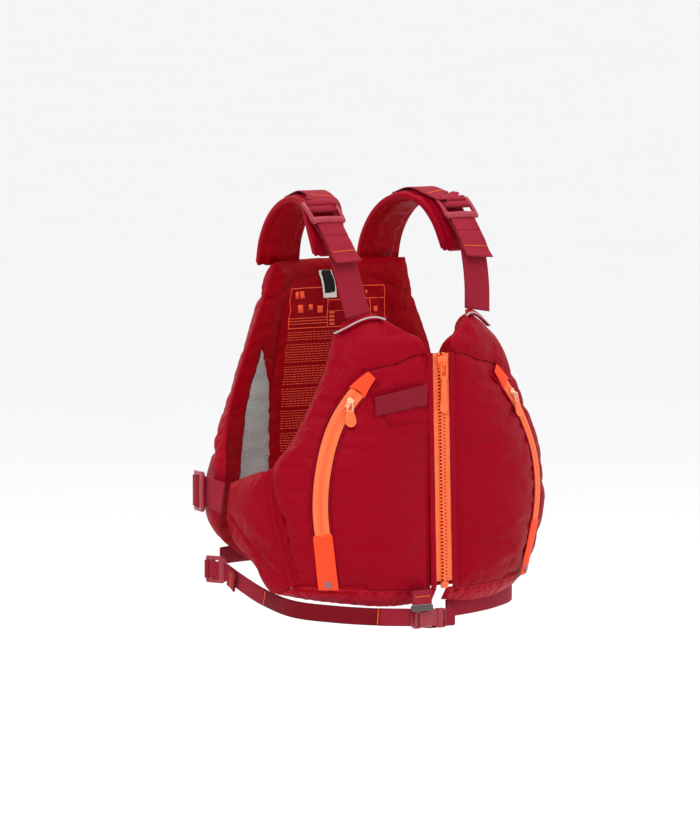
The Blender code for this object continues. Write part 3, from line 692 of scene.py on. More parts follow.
def plastic(name, colour, shade, roughness, coat=0.0, metallic=0.0, grain=0.00008):
    """Moulded plastic or plated metal, with faint mottling and a fine skin."""
    material, tree, shader = make_material(name, roughness, coat=coat, metallic=metallic)
    mottle, fine = surface_noise(tree, 60.0), surface_noise(tree, 2500.0, 2.0)
    paint(tree, shader, (colour, shade), mottle, fine, grain, 0.5)
    return material


def net(name, colour, hole, pitch):
    """Spacer mesh: rows of small round holes, every other row shifted by half, their dark colour
    painted shade of their depth.
    """
    material, tree, shader = make_material(name, 0.7, 0.2)
    first, second = map_parts(tree)
    across = math_node(tree, "MULTIPLY", first, 2 * math.pi / pitch)
    upward = math_node(tree, "MULTIPLY", second, 2 * math.pi / (1.6 * pitch))
    first = math_node(tree, "COSINE", math_node(tree, "ADD", across, upward))
    second = math_node(tree, "COSINE", math_node(tree, "SUBTRACT", across, upward))
    height = math_node(tree, "ADD", first, second)
    inside = math_node(tree, "GREATER_THAN", height, 0.55)
    lowered = math_node(tree, "MULTIPLY", height, -1.0)
    # The holes take the dark second colour: painted shade in their depth.
    paint(tree, shader, (colour, hole), inside, lowered, 0.0004, 0.8)
    return material


SHELL = nylon("shell_nylon", (0.30, 0.0002, 0.011), (0.21, 0.0001, 0.006), 0.46, 0.0)
HEM_SHELL = nylon("hem_nylon", (0.37, 0.006, 0.022), (0.28, 0.003, 0.014), 0.42, 0.03)
LINING = nylon("lining_nylon", (0.29, 0.0003, 0.005), (0.20, 0.0002, 0.003), 0.50, 0.0)
WEB = woven(
    "webbing_red", (0.42, 0.030, 0.055), (0.20, 0.004, 0.014), 0.6, 0.0030, 0.0004, 0.6, 0.03, 0.6
)
BELT_RIB = woven(
    "webbing_ribbed", (0.26, 0.008, 0.018), (0.10, 0.001, 0.004), 0.75, 0.0024, 0.0005, 0.0
)
PATCH_WEB = woven(
    "webbing_patch", (0.30, 0.016, 0.032), (0.16, 0.004, 0.012), 0.7, 0.0016, 0.0003, 0.5
)
ZIP_TAPE = woven("zip_tape", (0.88, 0.21, 0.085), (0.82, 0.13, 0.045), 0.6, 0.0011, 0.00015, 0.5)
GARAGE = nylon("zip_patch", (0.90, 0.075, 0.026), (0.80, 0.052, 0.014), 0.5, 0.0)
ORANGE = plastic("orange_plastic", (0.90, 0.135, 0.022), (0.82, 0.100, 0.014), 0.38, 0.1)
LOCK_RED = plastic("red_plastic", (0.30, 0.003, 0.020), (0.25, 0.002, 0.014), 0.30, 0.12)
METAL = plastic("slider_metal", (0.95, 0.55, 0.36), (0.85, 0.42, 0.25), 0.28, metallic=0.6)
CLIP_GREY = plastic("clip_plastic", (0.075, 0.055, 0.055), (0.045, 0.035, 0.035), 0.45)
RIVET_GREY = plastic("rivet_plastic", (0.30, 0.10, 0.12), (0.24, 0.07, 0.09), 0.35, 0.2)
PIPING = woven("reflective_piping", (0.50, 0.46, 0.48), (0.36, 0.33, 0.35), 0.35, 0.0008, 0.0001)
# Its second colour is painted shade inside the mesh holes.
MESH_GREY = net("spacer_mesh", (0.46, 0.46, 0.445), (0.10, 0.10, 0.10), 0.0034)
PRINT = plastic("printed_ink", (0.95, 0.085, 0.018), (0.85, 0.06, 0.010), 0.6)
THREAD_RED = woven("thread_red", (0.14, 0.001, 0.004), (0.08, 0.0004, 0.002), 0.6, 0.0006, 0.0001)
# Painted shade: the near-black red of the cords that stand in for the shadow in seam grooves.
SEAM_SHADE = nylon("seam_shade", (0.075, 0.0004, 0.002), (0.05, 0.0003, 0.001), 0.7, 0.0)
THREAD_ORANGE = woven("thread_orange", (1.0, 0.22, 0.030), (0.85, 0.13, 0.015), 0.5, 0.0006, 0.0001)
TAG_WHITE = nylon("tag_white", (0.80, 0.78, 0.76), (0.70, 0.68, 0.66), 0.5, 0.05)
TAG_BLACK = nylon("tag_black", (0.012, 0.011, 0.011), (0.02, 0.018, 0.018), 0.35, 0.05)

# Slot names, each with the outer materials of the pieces in it.
SLOTS = {
    "shell_fabric": (SHELL, HEM_SHELL, LINING, THREAD_RED, SEAM_SHADE),
    "lining_fabric": (MESH_GREY, PRINT, TAG_WHITE, TAG_BLACK),
    "webbing": (WEB, BELT_RIB, PATCH_WEB, THREAD_ORANGE),
    "reflective_piping": (PIPING,),
    "zip_tape": (ZIP_TAPE,),
    "zip_patch": (GARAGE,),
    "orange_plastic": (ORANGE,),
    "red_plastic": (LOCK_RED, RIVET_GREY),
    "slider_metal": (METAL,),
    "clip_plastic": (CLIP_GREY,),
}
SLOT_OF = {material.name: slot for slot, held in SLOTS.items() for material in held}

# The tags: name, material, left and right edges, foot, and rise above the lining.
TAGS = (
    ("tag_pale", TAG_WHITE, -0.021, -0.001, 0.396, 0.0006),
    ("tag_dark", TAG_BLACK, -0.018, -0.003, 0.402, 0.0018),
)


# ---------------------------------------------------------------- mesh tools


def new_object(name, data, materials, body="jacket"):
    """An object in the scene, with these materials, on a body if one is given."""
    obj = bpy.data.objects.new(name, data)
    bpy.context.scene.collection.objects.link(obj)
    for material in materials:
        data.materials.append(material)
    if body:
        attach(obj, body)
    return obj


def finish_mesh(name, mesh, materials, body="jacket"):
    """Turns a bmesh's faces outwards, and makes it a smooth object on a body."""
    bmesh.ops.recalc_face_normals(mesh, faces=mesh.faces)
    if mesh.calc_volume(signed=True) < 0:
        bmesh.ops.reverse_faces(mesh, faces=mesh.faces)
    data = bpy.data.meshes.new(name)
    for face in mesh.faces:
        face.smooth = True
    mesh.to_mesh(data)
    mesh.free()
    return new_object(name, data, materials, body)


def nearest(places, line):
    """For each place, the distance to the nearest point of a line, and how far along it that is."""
    lengths = np.concatenate([[0], np.cumsum(np.linalg.norm(np.diff(line, axis=0), axis=1))])
    flat = places.reshape(-1, 2)
    gaps = np.linalg.norm(flat[:, None, :] - line[None, :, :], axis=2)
    index = gaps.argmin(axis=1)
    shape = places.shape[:2]
    return gaps.min(axis=1).reshape(shape), lengths[index].reshape(shape)


def normals(points, facing):
    """Unit normals of a grid of points, turned to agree with facing at its middle."""
    rows, columns = np.gradient(points, axis=0), np.gradient(points, axis=1)
    made = np.cross(columns, rows)
    made /= np.maximum(np.linalg.norm(made, axis=2, keepdims=True), TINY)
    middle = made[made.shape[0] // 2, made.shape[1] // 2]
    return made if np.dot(middle, facing) > 0 else -made


def doubled(grid):
    """Twice as fine a grid, cubic between its points."""
    for axis in (0, 1):
        grid = np.moveaxis(grid, axis, 0)
        before = np.concatenate([2 * grid[:1] - grid[1:2], grid[:-2]])
        after = np.concatenate([grid[2:], 2 * grid[-1:] - grid[-2:-1]])
        halfway = (9 * (grid[:-1] + grid[1:]) - before - after) / 16
        made = np.empty((2 * len(grid) - 1,) + grid.shape[1:])
        made[::2] = grid
        made[1::2] = halfway
        grid = np.moveaxis(made, 0, axis)
    return grid


def rough(places, stretch, seed):
    """Smooth noise about -1 to 1 at each place, at a scale of its own across and up."""
    across, upward = stretch
    flat = [
        noise.noise(Vector((s / across, z / upward, seed * NOISE_OFFSET)))
        for s, z in places.reshape(-1, 2)
    ]
    return np.array(flat).reshape(places.shape[:2])


def settle(points, pinned, facing):
    """Cloth held along its seams and swelled from behind, with a little more cloth than room."""
    rows, columns = points.shape[:2]
    index = np.arange(rows * columns).reshape(rows, columns)
    corners = np.stack([index[:-1, :-1], index[:-1, 1:], index[1:, 1:], index[1:, :-1]], axis=-1)
    faces = corners.reshape(-1, 4)
    raw = np.cross(points[0, 1] - points[0, 0], points[1, 0] - points[0, 0])
    if np.dot(raw, normals(points, facing)[0, 0]) < 0:
        faces = faces[:, ::-1]
    data = bpy.data.meshes.new("settling")
    data.from_pydata(points.reshape(-1, 3).tolist(), [], faces.tolist())
    obj = bpy.data.objects.new("settling", data)
    bpy.context.scene.collection.objects.link(obj)
    group = obj.vertex_groups.new(name="held")
    group.add([int(i) for i in np.flatnonzero(pinned.ravel())], 1.0, "REPLACE")
    cloth = obj.modifiers.new("Cloth", "CLOTH")
    settings = cloth.settings
    settings.quality = 6
    settings.mass = 0.3
    settings.tension_stiffness = 12
    settings.compression_stiffness = 6
    settings.shear_stiffness = 4
    settings.bending_stiffness = 0.15
    settings.vertex_group_mass = "held"
    settings.use_pressure = True
    settings.uniform_pressure_force = CLOTH_PRESSURE
    settings.shrink_min = -CLOTH_SLACK
    settings.effector_weights.gravity = 0
    cloth.point_cache.frame_start = 1
    cloth.point_cache.frame_end = CLOTH_FRAMES
    for step in range(1, CLOTH_FRAMES + 1):
        bpy.context.scene.frame_set(step)
    shown = obj.evaluated_get(bpy.context.evaluated_depsgraph_get())
    moved = np.zeros(rows * columns * 3)
    shown.data.vertices.foreach_get("co", moved)
    bpy.data.objects.remove(obj, do_unlink=True)
    bpy.context.scene.frame_set(1)
    shift = moved.reshape(points.shape) - points
    size = np.linalg.norm(shift, axis=2, keepdims=True)
    return points + shift * np.minimum(1, CLOTH_CAP / np.maximum(size, TINY))


def upholster(points, places, seams, facing, seed, bulge=BULGE, wrinkle=WRINKLE):
    """A panel's face swelled between its seams: simulated, made finer, then grooved and puckered.

    Each seam is a line in the panel's own coordinates and the half width of its flat band.
    """
    edge = np.ones(points.shape[:2], bool)
    edge[1:-1, 1:-1] = False
    gap, _ = nearest(places, places[edge])
    pinned = edge.copy()
    for line, half_width in seams:
        reach = np.maximum(nearest(places, line)[0] - half_width, 0)
        pinned |= reach < CLOTH_STEP / 2
        gap = np.minimum(gap, reach)
    swell = 1 - np.exp(-((gap / BULGE_WIDTH) ** 1.5))
    folds = rough(places, (0.050, 0.016), seed) + 0.5 * rough(places, (0.022, 0.010), seed + 1)
    lift = swell * (bulge + wrinkle * folds)
    points = points + normals(points, facing) * lift[..., None]
    points = doubled(settle(points, pinned, facing))
    places = doubled(places)
    lift = np.zeros(places.shape[:2])
    for number, (line, half_width) in enumerate(seams):
        distance, reached = nearest(places, line)
        reach = np.maximum(distance - half_width, 0)
        lines = np.stack([reached / PUCKER_PITCH, np.full_like(reached, number + seed)], axis=-1)
        gathers = rough(lines, (1.0, 0.37), seed)
        lift += PUCKER * gathers * np.exp(-reach / PUCKER_REACH) * (reach > 0)
        lift -= GROOVE * np.exp(-((reach / GROOVE_WIDTH) ** 2)) * (1 if half_width == 0 else 0.4)
    return points + normals(points, facing) * lift[..., None], places


surfaces = {}


def landed(name, point, out, rise):
    """Where a line along out through a point meets a panel's cloth, and this far above it."""
    point, out = Vector(point), Vector(out)
    hit = surfaces[name].ray_cast(point + out * LANDING_REACH, -out, 2 * LANDING_REACH)
    return (hit[0] or point) + out * rise


def laid(name, put, distance, height, rise):
    """A place on a panel's cloth, and the way out of it; put(distance, height, depth) is its skin."""
    here = put(distance, height, 0)
    out = (here - put(distance, height, PROBE)).normalized()
    return landed(name, here, out, rise), out


def tube(mesh, rings):
    """Faces between rings of as many vertices each, and over both ends."""
    for first, second in zip(rings, rings[1:]):
        for k in range(len(first)):
            n = (k + 1) % len(first)
            mesh.faces.new((first[k], first[n], second[n], second[k]))
    mesh.faces.new(rings[0][::-1])
    mesh.faces.new(rings[-1])


def set_map(mesh, where):
    """A UV map in metres, from a place for each vertex."""
    layer = mesh.loops.layers.uv.new("UVMap")
    for face in mesh.faces:
        for loop in face.loops:
            loop[layer].uv = where[loop.vert]


def pillow(name, outer, inner, places, materials, body="jacket"):
    """A closed padded piece from its outer and inner faces, with a rounded edge between them."""
    rows, columns = outer.shape[:2]
    ring = [(0, c) for c in range(columns)] + [(r, columns - 1) for r in range(1, rows)]
    ring += [(rows - 1, c) for c in range(columns - 2, -1, -1)]
    ring += [(r, 0) for r in range(rows - 2, 0, -1)]
    mesh = bmesh.new()
    where = {}

    def grow(grid):
        made = []
        for r in range(rows):
            line = []
            for c in range(columns):
                vert = mesh.verts.new(grid[r, c])
                where[vert] = places[r, c]
                line.append(vert)
            made.append(line)
        return made

    front, back = grow(outer), grow(inner)
    middles = []
    for r, c in ring:
        inside_r = min(max(r, 1), rows - 2)
        inside_c = min(max(c, 1), columns - 2)
        outward = outer[r, c] - outer[inside_r, inside_c]
        outward = outward / max(np.linalg.norm(outward), TINY)
        wall = np.linalg.norm(outer[r, c] - inner[r, c])
        vert = mesh.verts.new((outer[r, c] + inner[r, c]) / 2 + outward * wall * 0.35)
        where[vert] = places[r, c]
        middles.append(vert)
    for r in range(rows - 1):
        for c in range(columns - 1):
            mesh.faces.new((front[r][c], front[r][c + 1], front[r + 1][c + 1], front[r + 1][c]))
            face = mesh.faces.new((back[r][c], back[r + 1][c], back[r + 1][c + 1], back[r][c + 1]))
            face.material_index = 1
    for here in range(len(ring)):
        after = (here + 1) % len(ring)
        (r, c), (next_r, next_c) = ring[here], ring[after]
        mesh.faces.new((front[r][c], middles[here], middles[after], front[next_r][next_c]))
        mesh.faces.new((back[r][c], back[next_r][next_c], middles[after], middles[here]))
    set_map(mesh, where)
    surfaces[name] = BVHTree.FromBMesh(mesh)
    return finish_mesh(name, mesh, materials, body)


def sweep(name, stations, profile, material, body="jacket"):
    """A profile carried along stations, each an (origin, across, out) triple of vectors."""
    mesh = bmesh.new()
    where = {}
    rings = []
    girth = [0.0]
    for first, second in zip(profile, profile[1:]):
        girth.append(girth[-1] + math.dist(first, second))
    length = 0.0
    previous = None
    for origin, across, out in stations:
        origin = Vector(origin)
        length += (origin - previous).length if previous is not None else 0.0
        previous = origin
        ring = []
        for (a, b), around in zip(profile, girth):
            vert = mesh.verts.new(origin + Vector(across) * a + Vector(out) * b)
            where[vert] = (around, length)
            ring.append(vert)
        rings.append(ring)
    tube(mesh, rings)
    set_map(mesh, where)
    return finish_mesh(name, mesh, [material], body)


def strap_profile(width, thickness, columns=8):
    """A flat strap's section: two faces and rounded edges, across then out."""
    x, y = width / 2, thickness / 2
    top = [(-x + y + (width - 2 * y) * k / columns, y) for k in range(columns + 1)]
    bottom = [(a, -y) for a, _ in reversed(top)]
    return top + [(x, 0)] + bottom + [(-x, 0)]


def round_profile(half_width, half_height, count=12):
    turns = [2 * math.pi * k / count for k in range(count)]
    return [(half_width * math.cos(t), half_height * math.sin(t)) for t in turns]


def bar_profile(width, height, power=3.5, count=20):
    """A rounded rectangle, as a superellipse."""
    points = []
    for k in range(count):
        t = 2 * math.pi * k / count
        x = math.copysign(abs(math.cos(t)) ** (2 / power), math.cos(t))
        y = math.copysign(abs(math.sin(t)) ** (2 / power), math.sin(t))
        points.append((width / 2 * x, height / 2 * y))
    return points


def path_stations(path, side, widthwise, step=0.0025):
    """Stations along a path, whose across direction stays near widthwise."""
    points = [Vector((side * x, y, z)) for x, y, z in trace(path, step)]
    stations = []
    for index, here in enumerate(points):
        lengthwise = ahead_at(points, index).normalized()
        across = Vector(widthwise)
        across = (across - lengthwise * across.dot(lengthwise)).normalized()
        stations.append((here, across, lengthwise.cross(across)))
    return stations


def ribbon(name, path, width, thickness, side, widthwise, body="jacket"):
    stations = path_stations(path, side, widthwise)
    return sweep(name, stations, strap_profile(width, thickness), WEB, body)


def stitches(name, places, length=0.0026, gap=0.0016, radius=0.00028):
    """A row of red stitches on a line of (point, out) places."""
    mesh = bmesh.new()
    points = [Vector(point) for point, _ in places]
    outs = [Vector(out).normalized() for _, out in places]
    lengths = [0.0]
    for first, second in zip(points, points[1:]):
        lengths.append(lengths[-1] + (second - first).length)

    def at(distance):
        index = int(min(max(np.searchsorted(lengths, distance) - 1, 0), len(points) - 2))
        share = (distance - lengths[index]) / max(lengths[index + 1] - lengths[index], TINY)
        return points[index].lerp(points[index + 1], share), outs[index].lerp(outs[index + 1], share)

    for number in range(int((lengths[-1] + gap) / (length + gap))):
        start = number * (length + gap)
        (first, out), (second, _) = at(start), at(min(start + length, lengths[-1]))
        add_stitch(mesh, first, second, out, radius)
    return finish_mesh(name, mesh, [THREAD_RED])


def add_stitch(mesh, first, second, out, radius):
    """One stitch: a thread that dips into the cloth at both ends."""
    lengthwise = (second - first).normalized()
    across = lengthwise.cross(out).normalized()
    rings = []
    for share, rise, size in ((0.0, -0.6, 0.6), (0.25, 0.7, 1.0), (0.75, 0.7, 1.0), (1.0, -0.6, 0.6)):
        middle = first.lerp(second, share) + out * radius * rise
        ring = []
        for k in range(5):
            turn = 2 * math.pi * k / 5
            offset = across * math.cos(turn) + out * math.sin(turn)
            ring.append(mesh.verts.new(middle + offset * radius * size))
        rings.append(ring)
    tube(mesh, rings)


def bar_tack(name, station, width, body="jacket", teeth=13, swing=0.0007, rise=0.0011):
    """A zigzag of orange thread across a strap at one of its stations."""
    origin, across, out = (Vector(part) for part in station)
    lengthwise = across.cross(out)
    mesh = bmesh.new()
    corners = []
    for k in range(teeth + 1):
        sideways = across * (k / teeth - 0.5) * width
        corners.append(origin + sideways + out * rise + lengthwise * swing * (1 if k % 2 else -1))
    for first, second in zip(corners, corners[1:]):
        add_stitch(mesh, first, second, out, 0.0004)
    return finish_mesh(name, mesh, [THREAD_ORANGE], body)


def moulded(name, outline, thickness, matrix, material, body="jacket", edge=0.0004, holes=()):
    """A flat moulding with rounded edges: an outline, and holes through it."""
    curve = bpy.data.curves.new(name, "CURVE")
    curve.dimensions = "2D"
    curve.fill_mode = "BOTH"
    curve.extrude = thickness / 2 - edge
    curve.bevel_depth = edge
    curve.bevel_resolution = 2
    curve.offset = -edge
    for line in [outline, *holes]:
        spline = curve.splines.new("POLY")
        spline.points.add(len(line) - 1)
        for point, (x, y) in zip(spline.points, line):
            point.co = (x, y, 0, 1)
        spline.use_cyclic_u = True
    maker = bpy.data.objects.new(name + "_curve", curve)
    data = bpy.data.meshes.new_from_object(maker)
    bpy.data.objects.remove(maker)
    bpy.data.curves.remove(curve)
    data.transform(matrix)
    data.materials.clear()
    for polygon in data.polygons:
        polygon.use_smooth = polygon.area < thickness * 0.004
    return new_object(name, data, [material], body)


def lozenge(name, size, matrix, material, body="jacket", radius=0.001):
    """A box with rounded edges."""
    mesh = bmesh.new()
    bmesh.ops.create_cube(mesh, size=1)
    bmesh.ops.scale(mesh, vec=size, verts=mesh.verts)
    edges = {"geom": mesh.edges[:], "offset": radius, "segments": 3}
    bmesh.ops.bevel(mesh, affect="EDGES", profile=0.5, **edges)
    bmesh.ops.transform(mesh, matrix=matrix, verts=mesh.verts)
    return finish_mesh(name, mesh, [material], body)


def rounded_outline(half_width, half_height, radius, count=6):
    """A rectangle's outline with round corners."""
    points = []
    for x, y, start in ((1, 1, 0), (-1, 1, 90), (-1, -1, 180), (1, -1, 270)):
        for k in range(count + 1):
            turn = math.radians(start + 90 * k / count)
            across = x * (half_width - radius) + radius * math.cos(turn)
            upward = y * (half_height - radius) + radius * math.sin(turn)
            points.append((across, upward))
    return points


def merge(name, target, *others):
    """Puts the others' meshes into the target's, as one moulding of this name."""
    mesh = bmesh.new()
    for obj in (target, *others):
        mesh.from_mesh(obj.data)
    mesh.to_mesh(target.data)
    mesh.free()
    for obj in others:
        bpy.data.objects.remove(obj, do_unlink=True)
    target.name = name
    return target


# ---------------------------------------------------------------- panels


def grid_of(outline, columns, rows):
    """Panel coordinates and shares on a grid, rows upward."""
    across, upward = shares(columns), shares(rows)
    places = np.array([[outline(u, v) for u in across] for v in upward])
    return places, across, upward


def raise_grid(places, depths, put):
    """Points in the row frame for a grid of panel coordinates at these depths."""
    rows, columns = depths.shape
    made = [
        [put(*places[r, c], depths[r, c]) for c in range(columns)]
        for r in range(rows)
    ]
    return np.array([[tuple(point) for point in line] for line in made])


def pocket_line():
    """The pocket zip's line from the tab's foot to the garage's tip, in panel coordinates."""
    head = [arc_point(angle, ARC_RADIUS) for angle in np.linspace(ZIP_ANGLES[0], 53, 40)]
    foot = np.array(TAB_FOOT)
    lower = [foot + (np.array(head[0]) - foot) * share for share in np.linspace(0, 0.95, 14)]
    return np.array([(skin_distance(x, z), z) for x, z in [*map(tuple, lower), *head]])


def patch_corners():
    x, y, slant = PATCH_HALF_WIDTH, PATCH_HALF_HEIGHT, PATCH_SLANT
    return [(-x, -y - slant), (x, slant - y), (x, y + slant), (-x, y - slant)]


def rims_of(across, upward):
    return np.array([[rim(u, v) for u in across] for v in upward])


def crease(points):
    """A seam through the points, with no flat band beside it."""
    return trace(points, SEAM_STEP), 0.0


def padded_panel(name, faces, places, seams, facing, seeds, swells, nodes, shell=SHELL):
    """A padded piece that replaces CAD nodes, from its outer and inner faces."""
    outer, fine = upholster(faces[0], places, seams[0], facing, seeds[0], *swells[0])
    inner, _ = upholster(faces[1], places, seams[1], -facing, seeds[1], *swells[1])
    piece = pillow(name, outer, inner, fine, [shell, LINING])
    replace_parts(piece, *nodes)


def front_panel(label, side):
    outline = patch(HEM, NECKLINE, [HEM[0], NECKLINE[0]], SIDE_SEAM + ARMHOLE[1:])
    places, across, upward = grid_of(outline, *FRONT_GRID)
    rims = rims_of(across, upward)
    rim_depths = np.where(across < 0.5, ZIP_RIM_DEPTH, RIM_DEPTH)[None, :]
    put = side_put(side)
    outer = raise_grid(places, rim_depths * rims, put)
    walls = rim_depths + RIM_WALL
    inner = raise_grid(places, FRONT_THICKNESS + (walls - FRONT_THICKNESS) * rims, put)
    seams = [crease(YOKE_SEAM), crease(PLACKET_SEAM), (pocket_line(), POCKET_HALF_WIDTH)]
    if label == "right":
        seams.append((patch_outline(), 0.0))
        seams.append((np.linspace(*PATCH_BAND, 20), PATCH_HALF_HEIGHT))
    nodes = [f"front_{layer}_{label}" for layer in ("cover", "foam", "liner")]
    seeds = (side + 3, side + 9)
    name = "front_panel_" + label
    padded_panel(name, (outer, inner), places, (seams, []), FORWARD, seeds, FRONT_FACES, nodes)


def patch_outline():
    """The stitched outline round and under the lash patch, in panel coordinates."""
    corners = zip(PATCH_STITCH, PATCH_STITCH[1:])
    return np.concatenate([np.linspace(first, second, 16)[:-1] for first, second in corners])


def back_panel():
    def other_side(points):
        return [(-distance, height) for distance, height in points]

    foot = other_side(BACK_FOOT)[:0:-1] + BACK_FOOT
    head = other_side(BACK_TOP)[:0:-1] + BACK_TOP
    outline = patch(foot, head, other_side(BACK_SIDE), BACK_SIDE)
    places, across, upward = grid_of(outline, *BACK_GRID)
    rims = rims_of(across, upward)
    share = (np.abs(places[..., 0]) - BACK_WING_START) / (BACK_WING_END - BACK_WING_START)
    share = np.clip(share, 0, 1)
    thickness = BACK_THICKNESS + (BACK_WING_THICKNESS - BACK_THICKNESS) * share
    outer = raise_grid(places, RIM_DEPTH * rims, spine)
    inner = raise_grid(places, thickness + (RIM_DEPTH + RIM_WALL - thickness) * rims, spine)
    outside = [crease(BACK_YOKE), crease(BACK_WAIST)]
    inside = [crease(BACK_YOKE)]
    for side in SIDES.values():
        for line in (LEAF_INNER, LEAF_OUTER, BACK_CHANNEL):
            inside.append(crease([(side * s, z) for s, z in line]))
    faces, seams = (outer, inner), (outside, inside)
    nodes = ("back_cover", "back_foam", "back_liner")
    padded_panel("back_panel", faces, places, seams, -FORWARD, (21, 27), BACK_FACES, nodes)


def side_wing(label, side):
    outline = patch(WING_FOOT, WING_TOP, WING_SEAM, WING_END)
    places, across, upward = grid_of(outline, *WING_GRID)
    put = side_put(side)
    thinning = WING_THICKNESS / 3 * rims_of(across, upward)
    outer = raise_grid(places, WING_SKIN + thinning, put)
    inner = raise_grid(places, WING_SKIN + WING_THICKNESS - thinning, put)
    faces, seams = (outer, inner), ([crease(WING_STITCH), crease(WING_CREASE)], [])
    seeds = (side + 31, side + 37)
    nodes = ["side_wing_" + label]
    facing = ACROSS * side
    padded_panel("wing_" + label, faces, places, seams, facing, seeds, WING_FACES, nodes)


def hem_gusset(label, side):
    across, upward = (np.linspace(0, 1, count) for count in GUSSET_GRID)
    foot = [along(GUSSET_FOOT, u) for u in across]
    head = [along(GUSSET_TOP, u) for u in across]
    places = np.array([[f + (h - f) * v for f, h in zip(foot, head)] for v in upward])
    depths = np.array([[GUSSET_SKIN + GUSSET_TUCK * (1 - v)] * len(across) for v in upward])
    put = side_put(side)
    faces = (raise_grid(places, depths, put), raise_grid(places, depths + GUSSET_THICKNESS, put))
    seeds = (side + 41, side + 43)
    name, nodes, seams = "gusset_" + label, ["hem_gusset_" + label], ([], [])
    padded_panel(
        name, faces, places, seams, FORWARD, seeds, GUSSET_FACES, nodes, shell=HEM_SHELL
    )


# ---------------------------------------------------------------- shoulders


def pad_point(u, v, w, side):
    """A point of the shoulder pad: u across, v along, and w through its thickness."""
    here = Vector(along(PAD_PATH, v))
    ahead = Vector(along(PAD_PATH, min(v + 0.02, 1))) - Vector(along(PAD_PATH, max(v - 0.02, 0)))
    out = ahead.normalized().cross(ACROSS).normalized()
    half_width = smooth(np.linspace(0, 1, len(PAD_HALF_WIDTHS)), np.array(PAD_HALF_WIDTHS), v)
    sideways = 2 * u - 1
    thickness = PAD_EDGE + (PAD_CROWN - PAD_EDGE) * (1 - sideways**4)
    thickness *= min(1, 0.35 + v / PAD_TAPER, 0.45 + (1 - v) / PAD_TAPER)
    here = here + Vector((sideways * half_width, 0, 0)) + out * (w - 0.5) * thickness
    return Vector((side * here.x, here.y, here.z))


def shoulder_pad(label, side):
    across, upward = (shares(count) for count in PAD_GRID)
    width, length = PAD_FLAT_SIZE
    places = np.array([[(u * width, v * length) for u in across] for v in upward])
    faces = [point_grid(lambda u, v: pad_point(u, v, w, side), across, upward) for w in (1, 0)]

    def lengthwise(x, start, count):
        return np.array([(x, v * length) for v in np.linspace(start, 1, count)])

    seams = [(lengthwise(x, 0, 60), 0.0) for x in PAD_SEAMS]
    held = [*seams, (lengthwise(width / 2, PAD_WEB_START, 40), WIDE_WEB / 2)]
    seeds = (side + 51, side + 57)
    name, nodes = "pad_" + label, ["shoulder_pad_" + label]
    padded_panel(name, faces, places, (held, seams), UPWARD, seeds, PAD_FACES, nodes)
    for u, edge in ((0.0, "inner"), (1.0, "outer")):
        stations = []
        for v in np.linspace(0.01, 0.99, 60):
            here = pad_point(u, v, 0.5, side)
            ahead = pad_point(u, min(v + PROBE, 1), 0.5, side)
            ahead -= pad_point(u, max(v - PROBE, 0), 0.5, side)
            outward = (here - pad_point(0.5, v, 0.5, side)).normalized()
            stations.append((here, outward, ahead.normalized().cross(outward)))
        sweep(f"pad_binding_{edge}_{label}", stations, bar_profile(*PAD_BINDING), SHELL)
    for u in PAD_STITCHES:
        places = []
        for v in np.linspace(0.02, 0.98, 80):
            here = pad_point(u, v, 1.0, side)
            places.append((here, (here - pad_point(u, v, 0.0, side)).normalized()))
        stitches(f"pad_stitch_{int(u * 100)}_{label}", places)


def blended_ribbon(name, path, width, side, widthwise, start, end):
    """Webbing along its path from the jacket to a lock, on no body, with its transform baked in."""
    piece = ribbon(name, path, width, WEBBING, side, widthwise, body=None)
    low, high = path[start], path[end]
    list(low[1:])
    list(high[1:])
    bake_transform(piece)
    return piece


def shoulder_straps(label, side):
    pad_web = ribbon("pad_web_" + label, PAD_WEB_PATH, WIDE_WEB, WEBBING, side, ACROSS)
    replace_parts(pad_web, "pad_webbing_" + label)
    stations = path_stations(PAD_WEB_PATH, side, ACROSS)
    bar_tack("pad_tack_" + label, stations[int(len(stations) * 0.70)], 0.027)
    front = blended_ribbon("strap_web_" + label, STRAP_PATH, WIDE_WEB, side, ACROSS, 2, 0)
    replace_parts(front, "front_webbing_" + label)
    blended_ribbon("tail_head_" + label, TAIL_HEAD_PATH, WIDE_WEB, side, ACROSS, -1, 0)
    stations = path_stations(TAIL_PATH, side, ACROSS, 0.0015)
    flared = []
    for index, (origin, wide, out) in enumerate(stations):
        share = index / (len(stations) - 1)
        lift = 0.0015 * share + 0.0060 * (max(0, share - 0.55) / 0.45) ** 1.6
        flared.append((origin + out * lift, wide * (1.02 + 0.05 * share), out))
    tail = sweep("tail_" + label, flared, strap_profile(WIDE_WEB, TAIL_THICKNESS), WEB)
    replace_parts(tail, "strap_tail_" + label)
    bar_tack("tail_tack_" + label, flared[int(len(flared) * 0.60)], 0.031, rise=0.0018)


